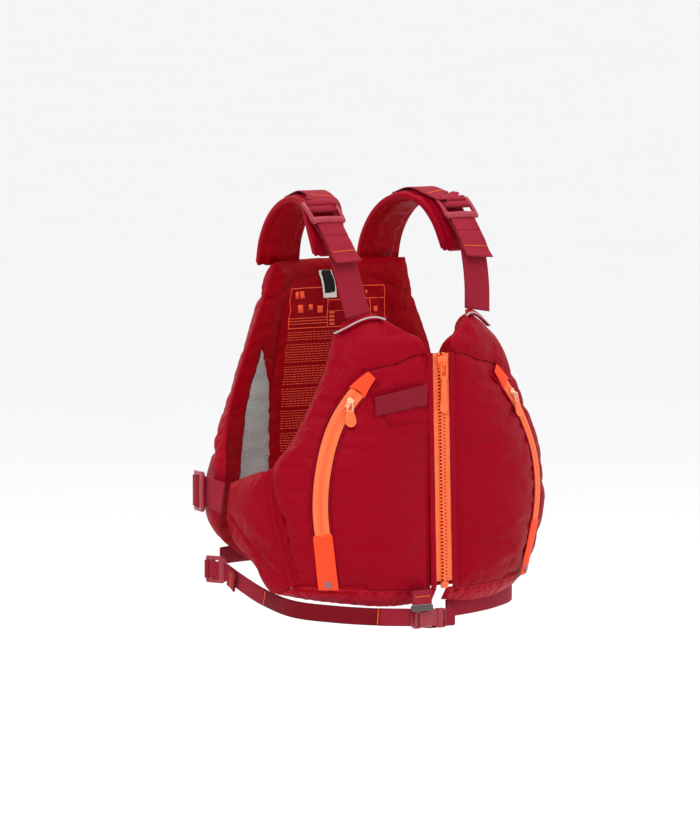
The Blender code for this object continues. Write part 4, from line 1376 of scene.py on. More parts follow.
def ladder_lock(name, size, matrix, web_width=WIDE_WEB):
    """A bowed frame of two rails and three bars, the last of which is a wide lip."""
    half_width, half_length = size
    turned = matrix.to_3x3()
    outward, sideways, upward = turned @ UPWARD, turned @ ACROSS, turned @ -FORWARD

    def lifted(x, y):
        return matrix @ Vector((x, y, LOCK_BOW * (1 - (y / half_length) ** 2)))

    pieces = []
    rail_x, rail_y = half_width - LOCK_RAIL / 2, half_length - RAIL_INSET
    for sign in (-1, 1):
        heights = np.linspace(-rail_y, rail_y, 14)
        stations = [(lifted(sign * rail_x, y), sideways, outward) for y in heights]
        pieces.append(sweep("rail", stations, bar_profile(LOCK_RAIL, LOCK_THICKNESS), LOCK_RED, name))
    for share, width in LOCK_BARS:
        y = share * half_length
        reach = half_width - BAR_INSET
        stations = []
        for x in np.linspace(-reach, reach, 15):
            dip = LOCK_DIP * (1 - (x / reach) ** 2) if share < 0 else 0.0
            stations.append((lifted(x, y + dip), upward, outward))
        profile = bar_profile(width, LOCK_THICKNESS * (1.25 if share < 0 else 0.9), 2.6)
        pieces.append(sweep("bar", stations, profile, LOCK_RED, name))
    lock = merge(name + "_frame", *pieces)
    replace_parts(lock, name)
    for number, (share, _) in enumerate(LOCK_BARS[:2]):
        reach = web_width / 2
        row = np.linspace(-reach, reach, 13)
        stations = [(lifted(x, share * half_length), upward, outward) for x in row]
        profile = bar_profile(min(WRAP_SIZE[0], half_length * 0.52), WRAP_SIZE[1], 2.4)
        sweep(f"{name}_wrap_{number}", stations, profile, WEB, name)


def shoulder_lock(label, side):
    slope = math.radians(SHOULDER_LOCK_SLOPE)
    x, y, z = SHOULDER_LOCK_PLACE
    up = (0, math.sin(slope), math.cos(slope))
    out = (0, -math.cos(slope), math.sin(slope))
    ladder_lock("shoulder_lock_" + label, SHOULDER_LOCK, frame_at((side * x, y, z), up, out))


def upright_lock(name, size, place, turn, side):
    turn = math.radians(turn)
    x, y, z = place
    rearward = (-side * math.sin(turn), math.cos(turn), 0)
    out = (side * math.cos(turn), math.sin(turn), 0)
    web_width = BELT_WEB if size == BELT_LOCK else WIDE_WEB
    ladder_lock(name, size, frame_at((side * x, y, z), rearward, out), web_width)


def piping(label, side):
    points = []
    for share in np.linspace(*PIPING_ENDS, 50):
        distance, height = along(NECKLINE, share)
        points.append(torso(distance, height + PIPING_RISE, PIPING_DEPTH, side))
    stations = []
    for index, here in enumerate(points):
        lengthwise = ahead_at(points, index).normalized()
        out = lengthwise.cross(UPWARD).normalized()
        stations.append((here, out, lengthwise.cross(out)))
    cord = sweep("piping_cord_" + label, stations, round_profile(PIPING_RADIUS, PIPING_RADIUS), PIPING)
    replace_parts(cord, "piping_" + label)


def anchor_tab(label, side):
    """The folded cloth tab that the front webbing comes out of, behind the piping."""
    columns, rows = ANCHOR_GRID
    first, last = ANCHOR_SHARES
    middle = (first + last) / 2
    low, high = ANCHOR_HEIGHTS

    def face(depth, swelling):
        def place(u, v):
            distance, height = along(NECKLINE, middle + (u - middle) * (1 - 0.22 * v))
            swell = swelling * math.sin(math.pi * min(v + 0.15, 1))
            rise = low + (high - low) * (u - first)
            return torso(distance, height + rise * v, depth + 0.003 * v + swell, side)

        return point_grid(place, np.linspace(first, last, columns), np.linspace(0, 1, rows))

    across, upward = np.linspace(0, 0.055, columns), np.linspace(0, 0.013, rows)
    places = np.array([[(u, v) for u in across] for v in upward])
    faces = [face(*values) for values in ANCHOR_FACES]
    tab = pillow("anchor_tab_" + label, *faces, places, [SHELL, SHELL])


# ---------------------------------------------------------------- straps and belt


def straps(label, side):
    strap = ribbon("side_web_" + label, SIDE_STRAP_PATH, WIDE_WEB, WEBBING, side, UPWARD)
    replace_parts(strap, "side_strap_" + label)
    stations = path_stations(BELT_PATHS[label], side, UPWARD)
    profile = strap_profile(BELT_WEB, WEBBING)
    if label == "right":
        near, far = (int(len(stations) * share) for share in BELT_SLEEVE)
        belt = sweep("belt_web_right", stations[: near + 1], profile, WEB)
        thick = strap_profile(BELT_WEB * 0.98, WEBBING * 1.5)
        sweep("belt_sleeve_right", stations[near:far], thick, BELT_RIB)
        sweep("belt_end_right", stations[far - 1 :], profile, WEB)
        for index, at in enumerate((near + 1, far - 2)):
            bar_tack(f"belt_tack_{index}", stations[at], BELT_WEB * 0.8, rise=side * -0.0014)
    else:
        belt = sweep("belt_web_left", stations, profile, WEB)
    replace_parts(belt, "belt_strap_" + label)
    upright_lock("side_lock_" + label, SIDE_LOCK, SIDE_LOCK_PLACE, SIDE_LOCK_TURN, side)
    upright_lock("belt_lock_" + label, BELT_LOCK, BELT_LOCK_PLACE, BELT_LOCK_TURN, side)
    for name, path, width in (("side", SIDE_HEAD_PATH, WIDE_WEB), ("belt", BELT_HEAD_PATH, BELT_WEB)):
        blended_ribbon(f"{name}_head_{label}", path, width, side, UPWARD, 0, 2)
    ribbon("belt_tail_" + label, BELT_TAIL_PATH, BELT_WEB * 1.1, TAIL_THICKNESS, side, UPWARD)
    stations = path_stations(BELT_TAIL_PATH, side, UPWARD)
    middle = stations[len(stations) // 2]
    bar_tack("belt_tail_tack_" + label, middle, BELT_WEB * 0.85, rise=-side * 0.0019)


def belt_back():
    stations = []
    for distance in np.linspace(-BELT_BACK_REACH, BELT_BACK_REACH, 90):
        here = spine(distance, BELT_BACK_HEIGHT, BELT_BACK_DEPTH + WEBBING / 2)
        out = (here - spine(distance, BELT_BACK_HEIGHT, PROBE)).normalized()
        stations.append((here, UPWARD, out))
    belt = sweep("belt_across_back", stations, strap_profile(BELT_WEB, WEBBING), WEB)
    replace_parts(belt, "belt_back")


# ---------------------------------------------------------------- zips


def main_tape(label, side):
    middle = side * (TAPE_INNER + TAPE_OUTER) / 2
    depth = TAPE_DEPTH + TAPE_THICKNESS / 2
    stations = []
    for height in np.linspace(ZIP_FOOT, ZIP_HEAD, 60):
        ripple = 0.0002 * math.sin(height * 310)
        stations += zip_stations([height], middle, depth + ripple)
    profile = strap_profile(TAPE_OUTER - TAPE_INNER, TAPE_THICKNESS)
    tape = sweep("main_tape_" + label, stations, profile, ZIP_TAPE)
    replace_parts(tape, "zip_tape_" + label)


def main_teeth(label, side):
    """A row of moulded teeth with waisted necks, half a pitch off the other row."""
    mesh = bmesh.new()
    half = TOOTH_PITCH * 0.28
    plan = [(0.0051, -half), (0.0022, -half * 0.7), (0.0008, -half * 1.3), (-0.0012, -half)]
    plan = mirrored(plan, 1, -1)
    start = ZIP_FOOT + TOOTH_PITCH / 2 + (0 if side > 0 else TOOTH_PITCH / 2)
    for number in range(int((ZIP_HEAD - ZIP_FOOT - TOOTH_PITCH) / TOOTH_PITCH)):
        height = start + number * TOOTH_PITCH
        layers = []
        for depth, keep in ((TOOTH_THICKNESS, 1.0), (0.0003, 1.0), (-0.0004, 0.76)):
            ring = []
            for x, z in plan:
                x = TOOTH_MIDDLE + (x - TOOTH_MIDDLE) * keep
                point = zip_line(height + z * keep, depth) + ACROSS * (side * x)
                ring.append(mesh.verts.new(point))
            layers.append(ring)
        tube(mesh, layers)
    teeth = finish_mesh("main_teeth_" + label, mesh, [ORANGE])
    for polygon in teeth.data.polygons:
        polygon.use_smooth = False
    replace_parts(teeth, "zip_teeth_" + label)


def placket(label, side):
    """The strip of shell cloth folded over the outer edge of the main zip's tape."""
    middle = (PLACKET_INNER + PLACKET_OUTER) / 2
    stations = []
    for height in np.linspace(0.0505, ZIP_HEAD + 0.001, 110):
        gather = noise.noise(Vector((height / 0.0045, side, 3.1)))
        wave = noise.noise(Vector((height / 0.03, side, 8.7)))
        origin = zip_line(height, PLACKET_DEPTH) + ACROSS * (side * (middle + 0.0003 * wave))
        stations.append((origin, ACROSS, FORWARD * (1 + 0.28 * gather)))
    profile = bar_profile(PLACKET_OUTER - PLACKET_INNER, PLACKET_THICKNESS, 2.6)
    sweep("placket_" + label, stations, profile, SHELL)


def bail(matrix, half_length, foot, height, size, count, material, body):
    """The arched loop on a slider that its puller hangs from."""
    turned = matrix.to_3x3()
    stations = []
    for share in np.linspace(0, 1, count):
        rise = foot + height * math.sin(math.pi * share) ** 0.6
        origin = matrix @ Vector((0, (2 * share - 1) * half_length, rise))
        stations.append((origin, turned @ ACROSS, turned @ UPWARD))
    return sweep("bail", stations, bar_profile(*size), material, body)


def puller_link(name, outside, hole, thickness, matrix, material, body):
    """A flat ring; outside and hole are each (half width, half height, radius, drop)."""
    lines = [shifted(rounded_outline(*size), 0, -low) for *size, low in (outside, hole)]
    return moulded(name, lines[0], thickness, matrix, material, body, holes=lines[1:])


def grip_outline(shank, radius, centre, turns):
    """A puller's grip: half of a shank, and the round foot that it widens to."""
    angles = np.radians(np.linspace(*turns, 9))
    foot = [(radius * math.cos(t), centre + radius * math.sin(t)) for t in angles]
    return mirrored([*shank, *foot])


def main_slider():
    """The slider's wings, its bridge, and the puller: a link, a neck and a moulded grip."""
    thickness = SLIDER_THICKNESS
    centre = zip_line(SLIDER_HEIGHT, -SLIDER_CLEARANCE - thickness / 2)
    matrix = frame_at(centre, (0, ZIP_LEAN, 1), (0, -1, ZIP_LEAN))
    plan = mirrored(SLIDER_PLAN)
    plate = moulded("slider_plate", plan, thickness, matrix, ORANGE, "zip_slider", 0.0006)
    foot, height = thickness / 2 - 0.0014, BAIL_DEPTH - 0.0002
    bridge = bail(matrix, 0.0040, foot, height, (0.0028, 0.0014), 12, ORANGE, "zip_slider")
    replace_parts(merge("slider_body", plate, bridge), "zip_slider")
    body = "zip_puller"
    axis_place = zip_line(SLIDER_HEIGHT, -SLIDER_CLEARANCE - thickness - BAIL_DEPTH / 2)
    facing = frame_at(axis_place, UPWARD, FORWARD)
    outside, hole = (0.0052, 0.0098, 0.0018, 0.0085), (0.0027, 0.0072, 0.0010, 0.0075)
    link = puller_link("puller_link", outside, hole, 0.0018, facing, ORANGE, body)
    place = facing @ Matrix.Translation((0, -0.0225, 0))
    parts = [lozenge("neck", NECK_SIZE, place, ORANGE, body, 0.0007)]
    outline = grip_outline(GRIP_SHANK, 0.0061, -0.0536, (12, -82))
    parts.append(moulded("grip", outline, 0.0020, facing, ORANGE, body, 0.0007))
    for k in range(5):
        place = facing @ Matrix.Translation((0, -0.036 - RIDGE_PITCH * k, 0))
        parts.append(lozenge("ridge", RIDGE_SIZE, place, ORANGE, body, 0.0005))
    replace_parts(merge("puller_main", link, *parts), "zip_puller")


def storm_flap():
    """The strip of shell cloth behind the main zip."""
    stations = zip_stations(np.linspace(0.053, ZIP_HEAD, 60), 0, FLAP_DEPTH)
    sweep("storm_flap", stations, bar_profile(*FLAP_SIZE, 4.0), SHELL)


def zip_ends():
    foot = zip_line(ZIP_FOOT - 0.0045, 0.0013)
    box = lozenge("bottom_box", BOX_SIZE, Matrix.Translation(foot), ORANGE)
    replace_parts(box, "zip_box")
    pin = Matrix.Translation(foot + UPWARD * 0.008)
    lozenge("bottom_pin", PIN_SIZE, pin, ORANGE, radius=0.0006)
    for label, side in SIDES.items():
        stop = zip_line(ZIP_HEAD - 0.0005, 0.0012) + ACROSS * (side * 0.0035)
        lozenge("top_stop_" + label, STOP_SIZE, Matrix.Translation(stop), ORANGE, radius=0.0006)


def arc_stations(angles, offset, rise, side, count):
    """Stations along the pocket zip's arc, this far outside its middle line."""
    radius = ARC_RADIUS + offset
    stations = []
    for angle in np.linspace(*angles, count):
        here = on_skin(*arc_point(angle, radius), rise, side)
        across = (on_skin(*arc_point(angle, radius + 0.003), rise, side) - here).normalized()
        ahead = on_skin(*arc_point(angle + 0.5, radius), rise, side) - here
        out = across.cross(ahead).normalized()
        stations.append((here, across, -out if out.y > 0 else out))
    return stations


def pocket_zip(label, side):
    stations = arc_stations(ZIP_ANGLES, 0, POCKET_RISE + POCKET_TAPE / 2, side, 90)
    profile = strap_profile(2 * POCKET_HALF_WIDTH, POCKET_TAPE)
    tape = sweep("pocket_tape_" + label, stations, profile, ZIP_TAPE)
    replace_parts(tape, "pocket_zip_" + label)
    for number, offset in enumerate((-COIL_OFFSET, COIL_OFFSET)):
        stations = arc_stations(ZIP_ANGLES, offset, POCKET_RISE + POCKET_TAPE + 0.0002, side, 420)
        ridged = []
        for index, (origin, across, out) in enumerate(stations):
            size = 1 + 0.16 * math.sin(index * 1.9 + number)
            ridged.append((origin, across * size, out * size))
        sweep(f"pocket_coil_{number}_{label}", ridged, round_profile(0.0011, 0.0008, 8), ORANGE)
    for number, sign in enumerate((-1, 1)):
        offset = sign * (POCKET_HALF_WIDTH + 0.0002)
        stations = arc_stations((ZIP_ANGLES[0], 51), offset, 0.0009, side, 110)
        sweep(f"pocket_edge_{number}_{label}", stations, bar_profile(0.0022, 0.0024, 2.4), SHELL)
    garage(label, side)
    pocket_tab(label, side)
    pocket_slider(label, side)


def garage(label, side):
    """The pointed patch over the pocket zip's upper end, with a hollowed lower edge."""

    def face(rise):
        def place(u, v):
            start = GARAGE_ANGLES[0] + 1 - u * u
            angle = start + (GARAGE_ANGLES[1] - start) * v
            radius = ARC_RADIUS + POCKET_HALF_WIDTH * (u * (1 - 0.45 * v) + 0.22 * v)
            crown = 0.0009 * (1 - u * u) * (1 - v)
            return on_skin(*arc_point(angle, radius), rise + crown, side)

        return point_grid(place, np.linspace(-1, 1, 13), np.linspace(0, 1, 22))

    faces = [face(POCKET_RISE + POCKET_TAPE + 0.0016), face(POCKET_RISE + 0.0004)]
    places = np.array([[(u * 0.01, v * 0.03) for u in range(13)] for v in range(22)])
    piece = pillow("garage_" + label, *faces, places / 13, [GARAGE, GARAGE])
    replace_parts(piece, "pocket_garage_" + label)


def pocket_tab(label, side):
    """The creased patch below the pocket zip, and the rivet through it."""

    def face(rise):
        def place(u, v):
            offset = u * POCKET_HALF_WIDTH
            head = np.array(arc_point(ZIP_ANGLES[0] + 0.6, ARC_RADIUS + offset))
            foot = np.array((TAB_FOOT[0] + offset, TAB_FOOT[1]))
            fold = 0.0005 * noise.noise(Vector((u * 0.4, v * 7.0, side * 2.2)))
            return on_skin(*(foot + (head - foot) * v), rise + fold, side)

        return point_grid(place, np.linspace(-1, 1, 11), np.linspace(0, 1, 40))

    faces = [face(POCKET_RISE + POCKET_TAPE + 0.0006), face(POCKET_RISE)]
    places = np.array([[(u * 0.0019, v * 0.0018) for u in range(11)] for v in range(40)])
    tab = pillow("tab_" + label, *faces, places, [GARAGE, GARAGE])
    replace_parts(tab, "pocket_tab_" + label)
    mesh = bmesh.new()
    verts = [mesh.verts.new((x, 0, z)) for x, z in RIVET_PROFILE]
    edges = [mesh.edges.new(pair) for pair in zip(verts, verts[1:])]
    turned = {"cent": (0, 0, 0), "axis": UPWARD, "angle": 2 * math.pi, "steps": 32}
    bmesh.ops.spin(mesh, geom=verts + edges, use_merge=True, **turned)
    bmesh.ops.remove_doubles(mesh, verts=mesh.verts, dist=1e-6)
    bmesh.ops.holes_fill(mesh, edges=mesh.edges)
    matrix = skin_frame(*RIVET_PLACE, RIVET_RISE, side)
    bmesh.ops.transform(mesh, matrix=matrix, verts=mesh.verts)
    rivet = finish_mesh("rivet_" + label, mesh, [RIVET_GREY])
    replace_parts(rivet, "pocket_rivet_" + label)


def pocket_slider(label, side):
    """The slider, its wire loop and the drop-shaped puller that hangs from it."""
    body = "pocket_slider_" + label
    thickness = POCKET_SLIDER_THICKNESS
    rise = POCKET_SLIDER_CLEARANCE + thickness / 2
    here = on_skin(*arc_point(SLIDER_ANGLE, ARC_RADIUS), rise, side)
    turn, lean = math.radians(SLIDER_ANGLE), math.radians(SLIDER_LEAN)
    up = (-side * math.sin(turn), 0, math.cos(turn))
    out = (side * math.sin(lean) * math.cos(turn), -math.cos(lean), 0.5 * math.sin(lean))
    matrix = frame_at(here, up, out)
    plate = moulded("plate", mirrored(POCKET_SLIDER_PLAN), thickness, matrix, METAL, body, 0.0005)
    foot = thickness / 2 - 0.0008
    loop = bail(matrix, 0.0030, foot, POCKET_BAIL_HEIGHT, (0.0024, 0.0011), 10, METAL, body)
    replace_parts(merge("slider_small_" + label, plate, loop), body)
    axis_place = matrix @ Vector((0, 0, (thickness + POCKET_BAIL_HEIGHT) / 2 + 0.0003))
    hanging = frame_at(axis_place, UPWARD, matrix.to_3x3() @ UPWARD)
    body = "pocket_puller_" + label
    outside, hole = (0.0042, 0.0065, 0.0014, 0.0055), (0.0028, 0.0048, 0.0010, 0.0052)
    puller_link("puller_link_" + label, outside, hole, 0.0015, hanging, METAL, body)
    outline = grip_outline(DROP_SHANK, 0.0071, -0.0232, (10, -85))
    grip = moulded("drop", outline, 0.0020, hanging, ORANGE, body, 0.0007)
    place = hanging @ Matrix.Translation((0, -0.0225, 0))
    knob = lozenge("knob", KNOB_SIZE, place, ORANGE, body, 0.0011)
    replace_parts(merge("puller_drop_" + label, grip, knob), body)


def lash_patch():
    """The webbing strip on the wearer's right chest."""
    matrix = skin_frame(*PATCH_PLACE, PATCH_RISE, SIDES["right"])
    low_left, low_right, high_right, high_left = (Vector((*c, 0)) for c in patch_corners())
    turned = matrix.to_3x3()
    stations = []
    for share in np.linspace(0, 1, 40):
        low, high = low_left.lerp(low_right, share), high_left.lerp(high_right, share)
        across = (turned @ (high - low)).normalized()
        stations.append((matrix @ ((low + high) / 2), across, turned @ UPWARD))
    profile = strap_profile(2 * PATCH_HALF_HEIGHT, PATCH_THICKNESS)
    strip = sweep("chest_strip", stations, profile, PATCH_WEB)
    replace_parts(strip, "lash_patch")


def stitch_row(name, line, surface, put, rise=0.0001):
    """Stitches on a panel's cloth along a line in its coordinates."""
    stitches(name, [laid(surface, put, distance, height, rise) for distance, height in line])


def seam(name, line, surface, put, radius=SEAM_RADIUS):
    """A seam's painted shade: a dark cord half sunk in a panel's cloth along a line in its
    coordinates, standing in for the shadow in the seam's groove.
    """
    places = [laid(surface, put, distance, height, 0) for distance, height in line]
    points = [here for here, _ in places]
    stations = []
    for index, (here, out) in enumerate(places):
        stations.append((here, ahead_at(points, index).cross(out).normalized(), out))
    sweep(name, stations, round_profile(radius, radius * 0.8, 8), SEAM_SHADE)


def allowance(name, line, put, depth=ALLOWANCE_DEPTH):
    """The turned-in cloth behind a seam between two panels."""
    points = [put(distance, height, depth) for distance, height in line]
    stations = []
    for index, here in enumerate(points):
        out = (here - put(*line[index], depth + PROBE)).normalized()
        stations.append((here, ahead_at(points, index).cross(out).normalized(), out))
    sweep(name, stations, bar_profile(*ALLOWANCE, 2.6), LINING)


def panel_seams(label, side):
    put = side_put(side)
    front, wing = "front_panel_" + label, "wing_" + label
    # A dark cord of painted shade along the yoke seam's groove.
    seam("yoke_seam_shade_" + label, trace(YOKE_SEAM, STITCH_STEP)[1:], front, put)
    stitch_row("wing_stitch_" + label, trace(WING_STITCH, STITCH_STEP)[1:-1], wing, put)
    stitch_row("tip_stitch_" + label, trace(WING_TIP_STITCH, STITCH_STEP), wing, put)
    allowance("hem_allowance_" + label, trace(HEM_TURN, ALLOWANCE_STEP), put)
    middle = [((a + c) / 2, (b + d) / 2) for (a, b), (c, d) in zip(SIDE_SEAM, WING_SEAM)]
    allowance("side_allowance_" + label, trace(middle, ALLOWANCE_STEP), put, SIDE_ALLOWANCE_DEPTH)
    if label == "right":
        stitch_row("patch_stitch", patch_outline(), front, put)


def back_seams():
    def inside(distance, height, depth):
        return spine(distance, height, BACK_THICKNESS - depth)

    stitch_row("yoke_stitch", trace(BACK_YOKE, STITCH_STEP)[2:-2], "back_panel", inside)
    for label, side in SIDES.items():
        line = trace([(side * s, z) for s, z in LEAF_INNER[1:]], STITCH_STEP)
        # A dark cord of painted shade along the mesh leaf's seam.
        seam("leaf_seam_shade_" + label, line[:-1], "back_panel", inside, LEAF_SEAM_RADIUS)


# ---------------------------------------------------------------- buckle


def on_edge(x, y, z):
    """A matrix that stands a flat moulding up, facing the front."""
    return Matrix.Translation((x, y, z)) @ Matrix.Rotation(math.pi / 2, 4, "X")


def waist_buckle():
    x, y, z = SOCKET_PLACE
    length, depth, height = SOCKET_SIZE
    half_x, half_z = length / 2, height / 2
    upper = [
        (half_x, 0.0085),
        (half_x, half_z - 0.001),
        (half_x - 0.002, half_z),
        (0.004, half_z - 0.0004),
        (-0.006, half_z - 0.002),
        (-half_x + 0.002, half_z - 0.001),
        (-half_x, half_z - 0.003),
    ]
    place = on_edge(x, y, z)
    slot = shifted(rounded_outline(0.0017, 0.0090, 0.0008), -0.0118, 0)
    outline = mirrored(upper, 1, -1)
    shell = moulded("shell", outline, depth, place, LOCK_RED, edge=0.0016, holes=[slot])
    rib_place = place @ Matrix.Translation((0.002, 0, 0.0046))
    rib = lozenge("rib", RIB_SIZE, rib_place, LOCK_RED, radius=0.0007)
    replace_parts(merge("socket_shell", shell, rib), "buckle_socket")
    mouth = x + half_x
    length, depth, height = PLUG_BASE_SIZE
    place = on_edge(mouth + PLUG_GAP + length / 2, y, z)
    outline = rounded_outline(length / 2, height / 2, 0.0025)
    slot = shifted(rounded_outline(0.0016, 0.0092, 0.0008), 0.0030, 0)
    base = moulded("base", outline, depth, place, LOCK_RED, "buckle_plug", 0.0014, [slot])
    place = Matrix.Translation((mouth - 0.009, y, z))
    tongue = lozenge("tongue", TONGUE_SIZE, place, LOCK_RED, "buckle_plug")
    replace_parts(merge("plug_body", base, tongue), "buckle_plug")
    plug_loop(mouth + PLUG_GAP + length, y, z)


def plug_loop(start, y, z):
    """The folded webbing loop beyond the plug, and the strap that joins it to the left belt."""
    path = [(start + reach, y, z) for reach in (0.0002, LOOP_LENGTH * 0.5, LOOP_LENGTH + 0.001)]
    stations = path_stations(path, 1, UPWARD, 0.0012)
    loop = sweep("loop_web", stations, strap_profile(BELT_WEB, 0.0040), WEB, "buckle_plug")
    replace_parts(loop, "plug_loop")
    end = BELT_PATHS["left"][-1]
    link = [(start + LOOP_LENGTH, y + 0.001, z), BELT_LINK_MIDDLE, (end[0] + 0.002, *end[1:])]
    strap = ribbon("belt_link", link, BELT_WEB, WEBBING, 1, UPWARD, body=None)
    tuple(link[2])
    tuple(link[0])
    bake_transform(strap)


def drop_tab():
    x, y, z = DROP_TAB_PLACE
    width, thickness, height = DROP_TAB_SIZE
    path = [(x, y, z + height / 2), (x, y + 0.0002, z), (x, y, z - height / 2)]
    tab = ribbon("tab_web", path, width, thickness, 1, ACROSS, body="drop_tab")
    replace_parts(tab, "drop_tab")
    station = (Vector((x, y, z + 0.001)), ACROSS, FORWARD)
    bar_tack("tab_tack", station, 0.022, "drop_tab", rise=thickness / 2 + 0.0001)
    clip_z = z - height / 2 - 0.0004 - CLIP_SIZE[2] / 2
    place = Matrix.Translation((x, y, clip_z))
    clip = lozenge("clip_end", CLIP_SIZE, place, CLIP_GREY, "drop_tab", 0.0018)
    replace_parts(clip, "tab_clip")


# ---------------------------------------------------------------- inside the back


def inner_back(distance, height, rise):
    """A point this far above the back's lining."""
    here = spine(distance, height, BACK_THICKNESS)
    inward = (spine(distance, height, BACK_THICKNESS + PROBE) - here).normalized()
    return landed("back_panel", here, inward, rise)


def leaf(label, side):
    """Spacer mesh let into the back's lining, in the shape of a leaf."""
    columns, rows = LEAF_GRID
    mesh = bmesh.new()
    where = {}
    grid = []
    for v in np.linspace(0, 1, rows):
        inner, outer = along(LEAF_INNER, v), along(LEAF_OUTER, v)
        line = []
        for u in np.linspace(0, 1, columns):
            distance, height = inner + (outer - inner) * u
            vert = mesh.verts.new(inner_back(side * distance, height, SHEET_GAP))
            where[vert] = (distance, height)
            line.append(vert)
        grid.append(line)
    for low, high in zip(grid, grid[1:]):
        for c in range(columns - 1):
            mesh.faces.new((low[c], low[c + 1], high[c + 1], high[c])).smooth = True
    set_map(mesh, where)
    area = sum(face.calc_area() for face in mesh.faces)
    bmesh.ops.recalc_face_normals(mesh, faces=mesh.faces)
    data = bpy.data.meshes.new("mesh_leaf_" + label)
    mesh.to_mesh(data)
    mesh.free()
    sheet = new_object("mesh_leaf_" + label, data, [MESH_GREY])


def printed_line(mesh, first, second, width=PRINT_LINE):
    """A thin printed bar between two places inside the back."""
    first, second = np.array(first, float), np.array(second, float)
    length = np.linalg.norm(second - first)
    ahead = (second - first) / length
    beside = np.array([-ahead[1], ahead[0]]) * width / 2
    rings = []
    for share in np.linspace(0, 1, max(int(length / 0.006), 1) + 1):
        middle = first + (second - first) * share
        line = []
        for edge in (middle + beside, middle - beside):
            for rise in (PRINT_RISE, PRINT_RISE + PRINT_THICKNESS):
                line.append(mesh.verts.new(inner_back(*edge, rise)))
        rings.append([line[0], line[1], line[3], line[2]])
    tube(mesh, rings)


def label_print():
    """A blank printed form: frames, rules, plain blocks and rows of dashes that spell nothing."""
    mesh = bmesh.new()
    x, foot, head, middle = LABEL_HALF_WIDTH, LABEL_MIDDLE, LABEL_HEAD, LABEL_COLUMN
    corners = [(-x, foot), (x, foot), (x, head), (-x, head), (-x, foot)]
    for first, second in zip(corners, corners[1:]):
        printed_line(mesh, first, second)
    for level in LABEL_RULES:
        printed_line(mesh, (-x, level), (middle, level), 0.0009)
    printed_line(mesh, (middle, foot), (middle, head))
    printed_line(mesh, (middle, LABEL_SHELF), (x, LABEL_SHELF))
    printed_line(mesh, (LABEL_DIVIDER, foot), (LABEL_DIVIDER, LABEL_SHELF))
    printed_line(mesh, (middle, LABEL_HALFWAY), (LABEL_DIVIDER, LABEL_HALFWAY), 0.0007)
    for number in range(4):
        height = foot + 0.0035 + 0.0048 * number
        printed_line(mesh, (middle + 0.003, height), (middle + 0.011, height), 0.0030)
    for across, height, size in LABEL_BLOCKS:
        printed_line(mesh, (across - size / 2, height), (across + size / 2, height), size)
    shortest, spread = DASH_LENGTHS
    for row, height in enumerate(np.arange(LABEL_FOOT, LABEL_MIDDLE - 0.004, DASH_ROW)):
        at = -x
        while at < x - 0.003:
            random = 0.5 + 0.5 * noise.noise(Vector((at * 613, row * 1.7, 0.4)))
            dash = shortest + spread * random
            if row % BLANK_EVERY != BLANK_EVERY - 1:
                printed_line(mesh, (at, height), (min(at + dash, x), height), 0.0008)
            at += dash + DASH_GAP
    finish_mesh("label_print", mesh, [PRINT])


def tags():
    """A white and a black tag sewn into the back's yoke seam."""
    for name, material, left, right, foot, rise in TAGS:

        def face(lift):
            def place(u, v):
                bow = 0.0026 * math.sin(math.pi * v) * (1 + u) / 2
                height = foot + (TAG_HEAD - foot) * v
                return inner_back(left + (right - left) * u, height, rise + lift + bow)

            return point_grid(place, np.linspace(0, 1, 9), np.linspace(0, 1, 14))

        places = np.array([[(u * 0.0025, v * 0.0025) for u in range(9)] for v in range(14)])
        pillow(name, face(0.0006), face(0.0), places, [material, material])


# ---------------------------------------------------------------- set


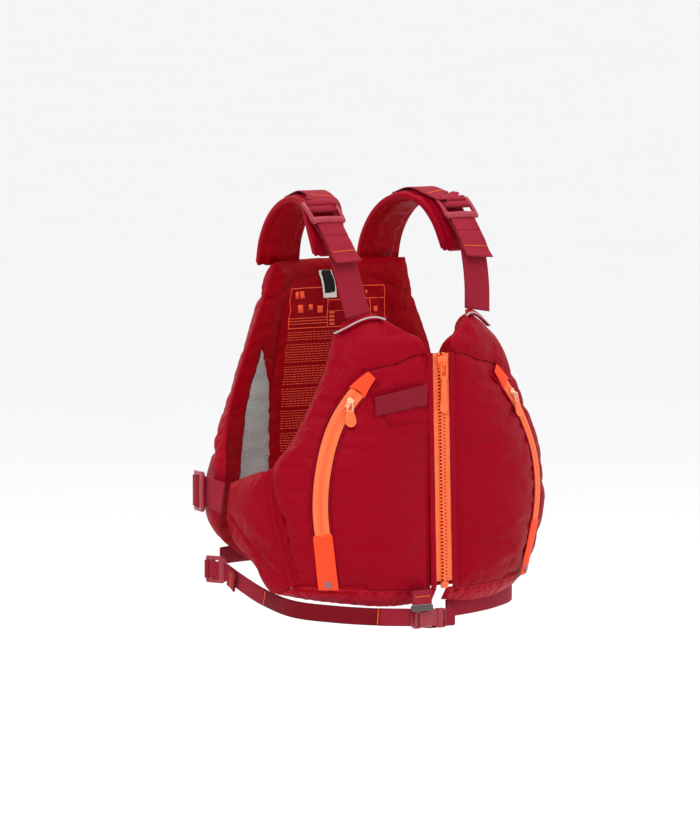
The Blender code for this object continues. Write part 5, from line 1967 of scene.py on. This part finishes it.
def lights_and_camera():
    azimuth, elevation = math.radians(CAMERA_AZIMUTH), math.radians(CAMERA_ELEVATION)
    level = math.cos(elevation)
    back = Vector((math.sin(azimuth) * level, -math.cos(azimuth) * level, math.sin(elevation)))
    camera = bpy.data.objects.new("camera", bpy.data.cameras.new("camera"))
    camera.data.lens = LENS
    camera.data.sensor_width = 36
    camera.data.clip_end = 100
    camera.location = Vector(TARGET) + back * CAMERA_DISTANCE
    camera.rotation_mode = "QUATERNION"
    camera.rotation_quaternion = (-back).to_track_quat("-Z", "Y")
    bpy.context.scene.collection.objects.link(camera)
    bpy.context.scene.camera = camera
    for name, place, size, power in LAMPS:
        lamp = bpy.data.lights.new(name, "AREA")
        lamp.shape = "DISK"
        lamp.size = size
        lamp.energy = power
        obj = bpy.data.objects.new(name, lamp)
        obj.location = place
        obj.rotation_mode = "QUATERNION"
        obj.rotation_quaternion = (Vector(AIM) - Vector(place)).to_track_quat("-Z", "Y")
        bpy.context.scene.collection.objects.link(obj)


def floor_and_sky():
    world = bpy.data.worlds.new("studio")
    world.use_nodes = True
    background = world.node_tree.nodes["Background"]
    background.inputs["Color"].default_value = (1, 1, 1, 1)
    background.inputs["Strength"].default_value = 1.0
    bpy.context.scene.world = world
    material, tree, shader = make_material("floor_paint", 0.9)
    tone = mix_colour(tree, surface_noise(tree, 2.0), (0.90, 0.90, 0.90, 1), (0.92, 0.92, 0.92, 1))
    tree.links.new(tone, shader.inputs["Base Color"])
    data = bpy.data.meshes.new("floor")
    corners = [(x * FLOOR_REACH, y * FLOOR_REACH) for x, y in ((-1, -1), (1, -1), (1, 1), (-1, 1))]
    data.from_pydata([(x, y, FLOOR_HEIGHT) for x, y in corners], [], [(0, 1, 2, 3)])
    floor = bpy.data.objects.new("floor", data)
    data.materials.append(material)
    bpy.context.scene.collection.objects.link(floor)


def main():
    bpy.context.scene.view_settings.view_transform = "Standard"
    lights_and_camera()
    floor_and_sky()
    back_panel()
    back_seams()
    for label, side in SIDES.items():
        front_panel(label, side)
        side_wing(label, side)
        hem_gusset(label, side)
        shoulder_pad(label, side)
        shoulder_straps(label, side)
        shoulder_lock(label, side)
        piping(label, side)
        anchor_tab(label, side)
        straps(label, side)
        main_tape(label, side)
        main_teeth(label, side)
        placket(label, side)
        pocket_zip(label, side)
        panel_seams(label, side)
        leaf(label, side)
    belt_back()
    main_slider()
    storm_flap()
    zip_ends()
    lash_patch()
    waist_buckle()
    drop_tab()
    label_print()
    tags()


main()
